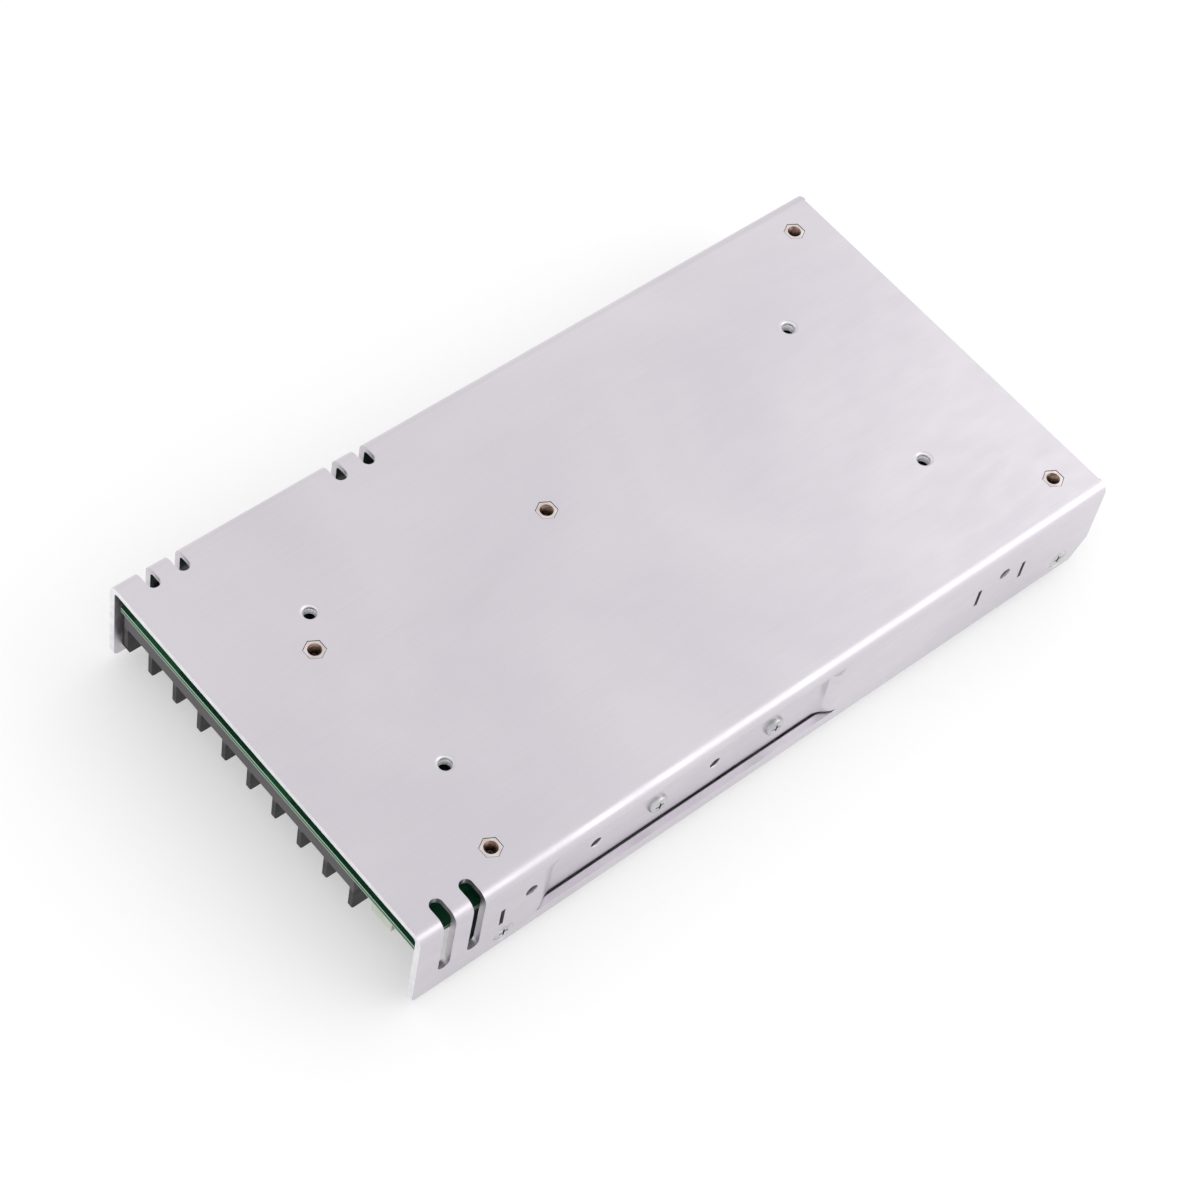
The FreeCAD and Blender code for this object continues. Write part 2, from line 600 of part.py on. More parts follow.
def folded_channel():
    """The base plate with both long walls and their bends, as one folded sheet."""
    body = doc.addObject("PartDesign::Body", "ChassisFold")
    section = outline(body, "ChassisSection", "YZ_Plane", [
        ("-side_y", "wall_edge"), ("-side_y", "case_height"),
        ("side_y", "case_height"), ("side_y", "wall_edge"),
        ("wall_in", "wall_edge"), ("wall_in", "base_in"),
        ("-wall_in", "base_in"), ("-wall_in", "wall_edge"),
    ])
    channel = pad(body, "ChassisPad", section, "case_length", both_ways=True)
    side, top = value("side_y"), value("case_height")
    inner, under = value("wall_in"), value("base_in")
    outer_edges = edges_where(channel.Shape, lambda x, y, z: near(abs(y), side) and near(z, top), "x")
    outer = rounded(body, "OuterBends", channel, outer_edges, "bend_out")
    inner_edges = edges_where(outer.Shape, lambda x, y, z: near(abs(y), inner) and near(z, under), "x")
    rounded(body, "InnerBends", outer, inner_edges, "bend_out - sheet")
    return body


def recess_loft(body, name, kind, spread, face, floor, low):
    """A flat-bottomed tapered block, added or cut: the recess as drawn on one face of the sheet."""
    rim = outline(body, name + "Rim", "XZ_Plane", [
        (f"recess_x - {spread}", low), (f"recess_end + {spread}", low),
        (f"recess_end + {spread}", f"recess_high + {spread}"),
        (f"recess_x - {spread}", f"recess_high + {spread}"),
    ], offset=face)
    bed = outline(body, name + "Bed", "XZ_Plane", [
        (f"recess_x - {spread} + recess_ramp", low),
        (f"recess_end + {spread} - recess_ramp", low),
        (f"recess_end + {spread} - recess_ramp", f"recess_high + {spread} - recess_slope"),
        (f"recess_x - {spread} + recess_ramp", f"recess_high + {spread} - recess_slope"),
    ], offset=floor)
    item = body.newObject(kind, name)
    item.Profile = rim
    item.Sections = [bed]
    item.Ruled = True
    doc.recompute()
    return item


def drawn_channel():
    """The folded channel with the recess drawn inwards in the wall that faces -Y."""
    body = folded_channel()
    skin = "sheet / 3"
    recess_loft(body, "RecessBack", "PartDesign::AdditiveLoft", skin, "wall_in", "recess_in", "recess_edge")
    front = recess_loft(body, "RecessFront", "PartDesign::SubtractiveLoft", "0", "side_y", "recess_out",
                        "recess_edge")
    floor, low = -value("recess_out"), value("recess_edge")
    bed_edges = [
        name for name in edges_where(front.Shape, lambda x, y, z: near(y, floor))
        if not near(front.Shape.getElement(name).BoundBox.ZMax, low)
    ]
    rounded(body, "RecessBedRound", front, bed_edges, "recess_round")
    return body


def vent_tools(name, x, side):
    """A vent slot that starts in the base plate, wraps over the bend and runs down a wall."""
    reach = "vent_reach - vent_width / 2"
    wall = "1.3 * sheet"
    inward = "-y" if side > 0 else "+y"
    start_y = f"{side} * side_y"
    plate_y = start_y if side < 0 else f"side_y - ({reach})"
    wall_y = start_y if side < 0 else f"side_y - ({wall})"
    return [
        box(name + "_plate", ("vent_width", reach, "bend_out + 1"),
            (f"{x} - vent_width / 2", plate_y, "case_height - bend_out - 1")),
        rod(name + "_plate_end", "vent_width / 2", "bend_out + 1",
            (x, f"{side} * (side_y - ({reach}))", "case_height - bend_out - 1")),
        box(name + "_wall", ("vent_width", wall, "vent_drop - vent_width / 2"),
            (f"{x} - vent_width / 2", wall_y, "case_height - vent_drop + vent_width / 2")),
        rod(name + "_wall_end", "vent_width / 2", wall,
            (x, start_y, "case_height - vent_drop + vent_width / 2"), inward),
    ]


def far_corner(name, side):
    """The wedge that cuts a long wall's far lower corner."""
    item = doc.addObject("Part::Wedge", name)
    bind(item, Xmin="0", Xmax="3 * corner_len", X2min="3 * corner_len", X2max="3 * corner_len",
         Ymin="0", Ymax="3 * corner_rise", Zmin="0", Zmax="2 * sheet", Z2min="0", Z2max="2 * sheet")
    turn = FreeCAD.Rotation(FreeCAD.Vector(1, 0, 0), 90)
    start = "-side_y + 1.5 * sheet" if side < 0 else "side_y + sheet / 2"
    return stand(item, ("end_x - 2 * corner_len", start, "wall_edge - corner_rise"), turn)


def chassis():
    """The chassis: folded channel, extruded mounting holes and every hole and slot in it."""
    channel = drawn_channel()
    collars = [
        rod(f"collar_{index}", "mount_collar / 2", "collar_depth + sheet / 2",
            (x, y, "base_in - collar_depth"))
        for index, (x, y) in enumerate(MOUNT_SPOTS)
    ]
    blank = joined("chassis_blank", [channel] + collars)
    cuts = [
        box("base_end_cut", ("base_relief + 1", "2 * (side_y - bend_out)", "2 * sheet"),
            ("base_end", "-side_y + bend_out", "base_in - sheet / 2")),
        box("recess_slit", ("recess_length", "recess_depth + 2 * sheet", "recess_edge - strip_top"),
            ("recess_x", "-side_y - sheet / 2", "strip_top")),
        middle_box("selector_window",
                   ("slider_width + slider_travel + 2 * window_gap", "3 * sheet",
                    "slider_height + 2 * window_gap"),
                   ("selector_mid", "side_y", "selector_z - slider_height / 2 - window_gap")),
    ]
    for index, (x, y) in enumerate(MOUNT_SPOTS):
        cuts.append(rod(f"mount_bore_{index}", "mount_bore / 2", "3 * sheet + collar_depth",
                        (x, y, "base_in - sheet - collar_depth")))
    for index, (x, y) in enumerate(STANDOFF_SPOTS):
        cuts.append(prism(f"standoff_seat_{index}", "standoff_hex", "2 * sheet",
                          (x, y, "base_in - sheet / 2")))
    for side in (-1, 1):
        wall = "selector" if side > 0 else "recessed"
        way = "-y" if side > 0 else "+y"
        face = f"{side} * (side_y + sheet / 2)"
        for number, x in enumerate(("-mount_pitch_x / 2", "mount_pitch_x / 2")):
            cuts.append(rod(f"{wall}_side_hole_{number}", "mount_bore / 2", "2 * sheet",
                            (x, face, "case_height - side_hole_drop"), way))
        for number, x in enumerate(("cover_screw_xa", "cover_screw_xb")):
            cuts.append(rod(f"{wall}_cover_hole_{number}", "screw_bore / 2", "2 * sheet",
                            (x, face, "cover_screw_z"), way))
            cuts.append(taper(f"{wall}_countersink_{number}", "flat_head / 2 + running_gap",
                              "screw_shank / 2 + running_gap",
                              "(flat_head - screw_shank) / 2",
                              (x, f"{side} * side_y", "cover_screw_z"), way))
        starts = ["-end_x + vent_front", "-end_x + vent_front + vent_pitch"]
        if side > 0:
            starts += ["-end_x + vent_second", "-end_x + vent_second + vent_pitch"]
        for number, x in enumerate(starts):
            cuts += vent_tools(f"{wall}_vent_{number}", x, side)
        cuts.append(far_corner(f"{wall}_far_corner", side))
    for number, x in enumerate(("-end_x + slit_front", "end_x - slit_back_a", "end_x - slit_back_b")):
        cuts.append(middle_box(f"small_slot_{number}", ("slit_width", "4 * sheet", "slit_length"),
                               (x, "-side_y", "case_height - slit_drop - slit_length / 2")))
    for number, x in enumerate(CLAMP_SPOTS):
        cuts.append(rod(f"clamp_hole_{number}", "screw_bore / 2", "recess_depth + 2 * sheet",
                        (x, "-side_y", "clamp_z"), "+y"))
        cuts.append(rod(f"spare_hole_{number}", "tap_bore / 2", "recess_depth + 2 * sheet",
                        (f"{x} - spare_step", "-side_y", "clamp_z"), "+y"))
    pierced = without("chassis_pierced", blank, cuts)
    doc.recompute()
    mouths = doc.addObject("Part::Fillet", "chassis")
    mouths.Base = pierced
    radius, top = value("mount_mouth"), value("case_height")
    bore = value("mount_bore / 2")
    rims = [
        (number, radius, radius)
        for number, edge in enumerate(pierced.Shape.Edges, start=1)
        if hasattr(edge.Curve, "Radius") and near(edge.Curve.Radius, bore)
        and near(edge.BoundBox.ZMin, top) and near(edge.BoundBox.ZMax, top)
    ]
    fronts = [
        (number, value("front_round"), value("front_round"))
        for number, edge in enumerate(pierced.Shape.Edges, start=1)
        if near(edge.BoundBox.XMin, -value("end_x")) and near(edge.BoundBox.XMax, -value("end_x"))
        and near(edge.BoundBox.ZMin, value("wall_edge")) and near(edge.BoundBox.ZMax, value("wall_edge"))
    ]
    mouths.Edges = rims + fronts
    return node("chassis", mouths)


# Perforated cover

def mesh_tools():
    """Every hexagonal hole of the cover's staggered field, as upright prisms."""
    pitch = value("mesh_hole + mesh_web")
    row_step = pitch * math.sqrt(3) / 2
    radius = value("mesh_hole") / math.sqrt(3)
    low_x, high_x = value("cover_x + mesh_border"), value("cover_end - cover_bend - mesh_border")
    half_y = value("cover_side - cover_bend - mesh_border")
    rows = int((half_y - value("mesh_hole") / 2) // row_step)
    prisms = []
    for row in range(-rows, rows + 1):
        shift = pitch / 2 if row % 2 else 0
        count = int((high_x - low_x - value("mesh_hole") - shift) // pitch) + 1
        spare = (high_x - low_x - value("mesh_hole") - (count - 1) * pitch - shift) / 2
        for place in range(count):
            x = low_x + spare + value("mesh_hole") / 2 + shift + place * pitch
            y = row * row_step
            corners = [
                FreeCAD.Vector(x + radius * math.sin(math.radians(60 * turn)),
                               y + radius * math.cos(math.radians(60 * turn)), -1)
                for turn in range(7)
            ]
            face = Part.Face(Part.makePolygon(corners))
            prisms.append(face.extrude(FreeCAD.Vector(0, 0, value("cover_sheet") + 2)))
    field = doc.addObject("Part::Feature", "mesh_field")
    field.Shape = Part.makeCompound(prisms)
    return field


def mesh_cover():
    """The perforated cover: a folded sheet, held as its perforated panel and its three flanges."""
    body = doc.addObject("PartDesign::Body", "CoverFold")
    section = outline(body, "CoverSection", "YZ_Plane", [
        ("-cover_side", "0 * cover_sheet"), ("-cover_side", "flange_height"),
        ("-cover_side + cover_sheet", "flange_height"), ("-cover_side + cover_sheet", "cover_sheet"),
        ("cover_side - cover_sheet", "cover_sheet"), ("cover_side - cover_sheet", "flange_height"),
        ("cover_side", "flange_height"), ("cover_side", "0 * cover_sheet"),
    ], offset="cover_x")
    trough = pad(body, "CoverPad", section, "cover_end - cover_x - end_relief")
    side, inner = value("cover_side"), value("cover_side - cover_sheet")
    sheet = value("cover_sheet")
    outer = rounded(body, "CoverOuterBends", trough,
                    edges_where(trough.Shape, lambda x, y, z: near(abs(y), side) and near(z, 0), "x"),
                    "cover_bend")
    rounded(body, "CoverInnerBends", outer,
            edges_where(outer.Shape, lambda x, y, z: near(abs(y), inner) and near(z, sheet), "x"),
            "cover_bend - cover_sheet")
    flap = doc.addObject("PartDesign::Body", "CoverEnd")
    flap_section = outline(flap, "CoverEndSection", "XZ_Plane", [
        ("cover_end - 2 * end_relief", "0 * cover_sheet"), ("cover_end", "0 * cover_sheet"),
        ("cover_end", "end_flange"), ("cover_end - cover_sheet", "end_flange"),
        ("cover_end - cover_sheet", "cover_sheet"), ("cover_end - 2 * end_relief", "cover_sheet"),
    ])
    flap_pad = pad(flap, "CoverEndPad", flap_section, "2 * (cover_side - end_notch)", both_ways=True)
    far = value("cover_end")
    flap_outer = rounded(flap, "CoverEndOuterBend", flap_pad,
                         edges_where(flap_pad.Shape, lambda x, y, z: near(x, far) and near(z, 0), "y"),
                         "cover_bend")
    rounded(flap, "CoverEndInnerBend", flap_outer,
            edges_where(flap_outer.Shape, lambda x, y, z: near(x, far - sheet) and near(z, sheet), "y"),
            "cover_bend - cover_sheet")
    blank = joined("cover_blank", [body, flap])
    panel_room = middle_box("panel_room", ("2 * (cover_end - cover_bend)", "2 * (cover_side - cover_bend)",
                                           "2 * cover_sheet"), ("0", "0", "-cover_sheet"))
    flat = doc.addObject("Part::MultiCommon", "cover_panel")
    flat.Shapes = [blank, panel_room]
    node("mesh_cover", without("mesh_cover", flat, [mesh_tools()]))
    tools = [
        middle_box("panel_cut", ("2 * (cover_end - cover_bend)", "2 * (cover_side - cover_bend)",
                                 "2 * cover_sheet"), ("0", "0", "-cover_sheet")),
        box("flange_step", ("recess_length + 2 * flange_margin", "3 * cover_sheet", "flange_height"),
            ("recess_x - flange_margin", "-cover_side - cover_sheet", "flange_low")),
    ]
    for number, (x, side) in enumerate(COVER_SCREW_SPOTS):
        way = "-y" if side > 0 else "+y"
        tools.append(rod(f"cover_tap_{number}", "tap_bore / 2", "3 * cover_sheet",
                         (x, f"{side} * (cover_side + cover_sheet)", "cover_screw_z"), way))
    node("cover_flanges", without("cover_flanges", blank, tools))


def cover_screws():
    """Countersunk screws through the long walls into the cover's side flanges."""
    screws = []
    for number, (x, side) in enumerate(COVER_SCREW_SPOTS):
        way = "-y" if side > 0 else "+y"
        screws.append(flat_screw(f"cover_screw_{number}", (x, f"{side} * side_y", "cover_screw_z"), way,
                                 "sheet + cover_gap + 3 * cover_sheet"))
    return node("cover_screws", together("cover_screws", screws))


# Circuit board and what carries it

def standoffs():
    """Hexagonal standoffs pressed into the base plate, flush with its face."""
    posts = []
    for number, (x, y) in enumerate(STANDOFF_SPOTS):
        head = prism(f"standoff_head_{number}", "standoff_hex", "sheet", (x, y, "base_in"))
        post = rod(f"standoff_post_{number}", "standoff_body / 2", "standoff_gap + sheet / 2",
                   (x, y, "solder_z"))
        bore = rod(f"standoff_bore_{number}", "tap_bore / 2", "standoff_gap + 2 * sheet",
                   (x, y, "solder_z - sheet / 2"))
        posts.append(without(f"standoff_{number}", joined(f"standoff_blank_{number}", [head, post]), [bore]))
    return node("pcb_standoffs", together("pcb_standoffs", posts))


def circuit_board():
    """The board: its edge steps back beside the recess, and it has a hole at each standoff."""
    body = doc.addObject("PartDesign::Body", "BoardBlank")
    step = "recess_in - board_side_gap / 2"
    shape = outline(body, "BoardOutline", "XY_Plane", [
        ("board_x", "-board_y"),
        ("recess_x - flange_margin", "-board_y"), ("recess_x - flange_margin", f"-({step})"),
        ("recess_end + flange_margin", f"-({step})"), ("recess_end + flange_margin", "-board_y"),
        ("board_end", "-board_y"), ("board_end", "board_y"), ("board_x", "board_y"),
    ], offset="parts_z")
    pad(body, "BoardPad", shape, "board_sheet")
    holes = [
        rod(f"board_hole_{number}", "board_hole / 2", "3 * board_sheet", (x, y, "parts_z - board_sheet"))
        for number, (x, y) in enumerate(STANDOFF_SPOTS)
    ]
    return node("circuit_board", without("circuit_board", body, holes))


def board_screws():
    """Pan-head screws that hold the board on its standoffs."""
    screws = [
        pan_screw(f"board_screw_{number}", (x, y, "parts_z"), "+z", "board_sheet + standoff_gap * 0.7")
        for number, (x, y) in enumerate(STANDOFF_SPOTS)
    ]
    return node("pcb_screws", together("pcb_screws", screws))


def insulation_sheet():
    """The thin insulating sheet on the base plate's inner face, cut out round posts and collars."""
    blank = box("film_blank",
                ("base_end + end_x - 2 * film_front", "2 * (wall_in - film_border)", "film_sheet"),
                ("-end_x + film_front", "-(wall_in - film_border)", "base_in - film_sheet"))
    holes = [
        rod(f"film_post_{number}", "standoff_hex / 2 + film_gap", "3 * film_sheet",
            (x, y, "base_in - 2 * film_sheet"))
        for number, (x, y) in enumerate(STANDOFF_SPOTS)
    ]
    holes += [
        rod(f"film_collar_{number}", "mount_collar / 2 + film_gap", "3 * film_sheet",
            (x, y, "base_in - 2 * film_sheet"))
        for number, (x, y) in enumerate(MOUNT_SPOTS)
    ]
    return node("insulation_sheet", without("insulation_sheet", blank, holes))


# Terminal block

def terminal_block():
    """The moulded barrier block: base, back wall and a row of dividers, with a hole for each screw."""
    body = doc.addObject("PartDesign::Body", "BlockBody")
    section = outline(body, "BlockSection", "XZ_Plane", [
        ("block_x", "parts_z"), ("block_x", "ledge_z"),
        ("block_rear - block_back", "ledge_z"), ("block_rear - block_back", "parts_z - block_height"),
        ("block_rear", "parts_z - block_height"), ("block_rear", "parts_z"),
    ], offset="-block_y")
    pad(body, "BlockPad", section, "block_length")
    divider = outline(body, "DividerSection", "XZ_Plane", [
        ("block_x", "parts_z"), ("block_x", "parts_z - divider_front + divider_cut"),
        ("block_x + divider_cut", "parts_z - divider_front"),
        ("block_x + divider_step", "parts_z - divider_front"),
        ("block_x + divider_step + divider_cut", "parts_z - divider_rear"),
        ("block_rear - block_back / 2", "parts_z - divider_rear"),
        ("block_rear - block_back / 2", "parts_z"),
    ], offset="-block_y")
    first = pad(body, "Divider", divider, "divider_sheet")
    row = body.newObject("PartDesign::LinearPattern", "DividerRow")
    row.Originals = [first]
    row.Direction = (origin_feature(body, "Y_Axis"), [""])
    row.Reversed = True
    bind(row, Length="terminal_pitch * terminal_places", Occurrences="terminal_places + 1")
    body.Tip = row
    doc.recompute()
    holes = [
        rod(f"block_hole_{number}", "terminal_shank / 2 + pivot_gap", "1.2 * terminal_bite",
            ("terminal_x", terminal_y(number), "ledge_z"))
        for number in range(round(value("terminal_places")))
    ]
    return node("terminal_block", without("terminal_block", body, holes))


def terminal_y(number):
    """The formula for the middle of one terminal across the case."""
    return f"block_y - divider_sheet / 2 - terminal_pitch * ({number} + 0.5)"


def terminal_metal():
    """Contact strips, square wire clamps and screws, one of each for every terminal."""
    strips, clamps, screws = [], [], []
    for number in range(round(value("terminal_places"))):
        y = terminal_y(number)
        hole = rod(f"strip_hole_{number}", "terminal_shank / 2 + running_gap",
                   "4 * contact_sheet + clamp_sheet", ("terminal_x", y, "clamp_face - contact_sheet"))
        strip = middle_box(f"strip_blank_{number}", ("contact_length", "contact_width", "contact_sheet"),
                           ("block_x + contact_inset + contact_length / 2", y, "contact_z"))
        strips.append(without(f"strip_{number}", strip, [hole]))
        hole = rod(f"clamp_hole_t_{number}", "terminal_shank / 2 + running_gap", "3 * clamp_sheet",
                   ("terminal_x", y, "clamp_face - clamp_sheet"))
        plate = middle_box(f"clamp_blank_{number}", ("clamp_plate", "clamp_plate", "clamp_sheet"),
                           ("terminal_x", y, "clamp_face"))
        clamps.append(without(f"clamp_{number}", plate, [hole]))
        screws.append(pan_screw(f"terminal_screw_{number}", ("terminal_x", y, "clamp_face"), "+z",
                                "clamp_sheet + contact_sheet + terminal_bite",
                                "terminal_head", "terminal_head_t", "terminal_shank"))
    node("terminal_contacts", together("terminal_contacts", strips))
    node("wire_clamps", together("wire_clamps", clamps))
    node("terminal_screws", together("terminal_screws", screws))


# Trimmer and lamp beside the terminal block

def trimmer():
    """The output voltage trimmer: a square body, and a slotted rotor that turns on its pivot."""
    middle = ("trimmer_mid_x", "trimmer_mid_y")
    body = middle_box("trimmer_blank", ("trimmer_side", "trimmer_side", "trimmer_height"),
                      (*middle, "trimmer_face"))
    seat_depth = "rotor_sheet + 2 * running_gap"
    seat = rod("rotor_seat", "rotor_radius + 2 * running_gap", seat_depth, (*middle, "trimmer_face"))
    pivot_hole = rod("pivot_hole", "rotor_pin + pivot_gap", f"{seat_depth} + pivot_reach + running_gap",
                     (*middle, "trimmer_face"))
    node("trimmer_body", without("trimmer_body", body, [seat, pivot_hole]))
    disc = rod("rotor_disc", "rotor_radius", "rotor_sheet", (*middle, "trimmer_face + running_gap"))
    pin = rod("rotor_pivot", "rotor_pin", "rotor_sheet + pivot_reach",
              (*middle, "trimmer_face + running_gap"))
    slots = [
        middle_box("rotor_slot_a", ("1.5 * rotor_radius", "rotor_radius / 3", "rotor_sheet / 2"),
                   (*middle, "trimmer_face + running_gap")),
        middle_box("rotor_slot_b", ("rotor_radius / 3", "1.5 * rotor_radius", "rotor_sheet / 2"),
                   (*middle, "trimmer_face + running_gap")),
    ]
    blank = joined("rotor_blank", [disc, pin])
    node("trimmer_rotor", without("trimmer_rotor", blank, [joined("rotor_cross", slots)]))


def indicator_lamp():
    """The indicator lamp: a rim on the board, a round body and its dome."""
    middle = ("lamp_mid_x", "lamp_mid_y")
    rim = rod("lamp_rim", "lamp_radius + lamp_rim", "2 * lamp_rim", (*middle, "parts_z"), "-z")
    barrel = rod("lamp_barrel", "lamp_radius", "lamp_barrel", (*middle, "parts_z"), "-z")
    dome = doc.addObject("Part::Sphere", "lamp_dome")
    bind(dome, Radius="lamp_radius")
    stand(dome, (*middle, "parts_z - lamp_barrel"))
    node("indicator_lamp", joined("indicator_lamp", [rim, barrel, dome]))


# Input voltage selector behind its window in the wall that faces +Y

def selector():
    """The selector's body on the board, and its slider, which shows in the wall's window."""
    body = middle_box("selector_blank", ("selector_length", "selector_depth", "selector_height"),
                      ("selector_mid", "selector_face - selector_depth / 2", "parts_z - selector_height"))
    seat = middle_box("slider_seat", ("seat_width", "2 * slider_depth", "slider_height + 2 * running_gap"),
                      ("selector_mid", "selector_face", "selector_z - slider_height / 2 - running_gap"))
    node("selector_body", without("selector_body", body, [seat]))
    slider_mid = "selector_mid - slider_travel / 2"
    slider_back = "selector_face - slider_depth + running_gap"
    block = box("slider_blank", ("slider_width", f"side_y - slider_shy - ({slider_back})", "slider_height"),
                (f"{slider_mid} - slider_width / 2", slider_back, "selector_z - slider_height / 2"))
    groove = box("slider_groove", ("slider_width / 8", "2 * groove_depth", "slider_height * 0.7"),
                 (f"{slider_mid} - slider_width / 16", "side_y - slider_shy - groove_depth",
                  "selector_z - slider_height * 0.35"))
    node("selector_slider", without("selector_slider", block, [groove]))


# Power devices

def device(name, x, back, side):
    """A flat power device on its three leads. Its back is at a Y, its body on the given side of it."""
    low_y = back if side > 0 else f"{back} - device_depth"
    body = box(name + "_body", ("device_width", "device_depth", "device_height"),
               (f"{x} - device_width / 2", low_y, "device_top - device_height"))
    leads = [
        middle_box(f"{name}_lead_{number}", ("lead_width", "lead_sheet", "lead_drop + lead_width"),
                   (f"{x} + {number - 1} * lead_pitch", f"{low_y} + device_depth / 2",
                    "device_top - lead_width"))
        for number in range(3)
    ]
    hole = rod(name + "_hole", "screw_bore / 2", "3 * device_depth",
               (x, f"{low_y} - device_depth", "device_hole_z"), "+y")
    return without(name, joined(name + "_blank", [body] + leads), [hole])


def wall_devices():
    """Rectifiers on the recess's inner face, with their thermal pads, clamp bars and screws."""
    pad_back = "-(recess_in)"
    device_back = "-(recess_in - pad_sheet)"
    bar_back = "-(recess_in - pad_sheet - device_depth)"
    rectifiers, pads, bars, screws = [], [], [], []
    for number, x in enumerate(CLAMP_SPOTS):
        for side in (-1, 1):
            rectifiers.append(device(f"rectifier_{number}_{side + 1}", f"{x} + {side} * device_step",
                                     device_back, 1))
            pads.append(middle_box(f"pad_{number}_{side + 1}",
                                   ("device_width + 2 * pad_margin", "pad_sheet",
                                    "device_top - recess_edge - 2 * pad_margin"),
                                   (f"{x} + {side} * device_step", f"{pad_back} + pad_sheet / 2",
                                    "recess_edge + pad_sheet")))
        bar = middle_box(f"bar_blank_{number}", ("clamp_bar_span", "clamp_bar", "clamp_bar_rise"),
                         (x, f"{bar_back} + clamp_bar / 2", "clamp_z - clamp_bar_rise / 2"))
        hole = rod(f"bar_tap_{number}", "tap_bore / 2", "3 * clamp_bar",
                   (x, f"{bar_back} - clamp_bar", "clamp_z"), "+y")
        bars.append(without(f"bar_{number}", bar, [hole]))
        screws.append(pan_screw(f"clamp_screw_{number}", (x, "-recess_out", "clamp_z"), "+y",
                                "sheet + pad_sheet + device_depth + 2 * clamp_bar"))
    node("output_rectifiers", together("output_rectifiers", rectifiers))
    node("thermal_pads", together("thermal_pads", pads))
    node("clamp_bars", together("clamp_bars", bars))
    node("clamp_screws", together("clamp_screws", screws))


def heatsink_group():
    """The heatsink on the board with the two power transistors screwed to it."""
    body = doc.addObject("PartDesign::Body", "HeatsinkBody")
    section = outline(body, "HeatsinkSection", "YZ_Plane", [
        ("sink_y", "parts_low"), ("sink_y + sink_sheet", "parts_low"),
        ("sink_y + sink_sheet", "parts_z - sink_sheet"), ("sink_y + sink_foot", "parts_z - sink_sheet"),
        ("sink_y + sink_foot", "parts_z"), ("sink_y", "parts_z"),
    ], offset="sink_x")
    pad(body, "HeatsinkPad", section, "sink_length")
    transistors, screws, taps = [], [], []
    for number in range(2):
        x = f"end_x - transistor_back + {number} * transistor_pitch"
        transistors.append(device(f"transistor_{number}", x, "sink_y", -1))
        screws.append(pan_screw(f"sink_screw_{number}", (x, "sink_y - device_depth", "device_hole_z"), "+y",
                                "device_depth + sink_sheet"))
        taps.append(rod(f"sink_tap_{number}", "tap_bore / 2", "3 * sink_sheet",
                        (x, "sink_y - sink_sheet", "device_hole_z"), "+y"))
    node("heatsink", without("heatsink", body, taps))
    node("power_transistors", together("power_transistors", transistors))
    node("heatsink_screws", together("heatsink_screws", screws))


# Wound parts

def wound_ring(name, at, count):
    """A ring core lying on the board and its windings. Its sizes are named after it."""
    radius, bore, height, wire, arc = (f"{name}_{part}" for part in ("radius", "bore", "core", "wire", "arc"))
    low = f"parts_z - {height} - {wire}"
    outer = rod(name + "_outer", radius, height, (*at, low))
    middle = rod(name + "_eye", bore, f"3 * {height}", (*at, f"{low} - {height}"))
    core = without(name + "_ring", outer, [middle])
    share = 360 / count
    sectors = []
    for number in range(count):
        start = share * number + (share - value(arc)) / 2
        sector = doc.addObject("Part::Cylinder", f"{name}_sector_{number}")
        bind(sector, Radius=f"{radius} + {wire}", Height=f"{height} + 2 * {wire}", Angle=arc)
        stand(sector, (*at, f"{low} - {wire}"), FreeCAD.Rotation(FreeCAD.Vector(0, 0, 1), start))
        eye = rod(f"{name}_eye_{number}", f"{bore} - {wire}", f"3 * {height}", (*at, f"{low} - {height}"))
        hollow = without(f"{name}_hollow_{number}", sector, [eye])
        ring = rod(f"{name}_ring_tool_{number}", radius, height, (*at, low))
        core_eye = rod(f"{name}_core_tool_{number}", bore, height, (*at, low))
        sleeve = without(f"{name}_sleeve_{number}", ring, [core_eye])
        sectors.append(without(f"{name}_winding_{number}", hollow, [sleeve]))
    return core, sectors


def chokes():
    """The line choke with its two windings and the output choke with its one."""
    core, halves = wound_ring("line", ("line_x", "line_y"), 2)
    node("line_choke_core", core)
    node("line_choke_windings", together("line_choke_windings", halves))
    core, whole = wound_ring("smooth", ("smooth_x", "-smooth_side"), 1)
    node("output_choke_core", core)
    node("output_choke_winding", whole[0])


def around_leg(name, length, grow):
    """A block round the main transformer's middle leg, larger than it by the given margin."""
    return middle_box(name, (length, f"core_leg + 2 * ({grow})", f"core_height + 2 * ({grow})"),
                      ("core_x", "-core_side", f"core_low - ({grow})"))


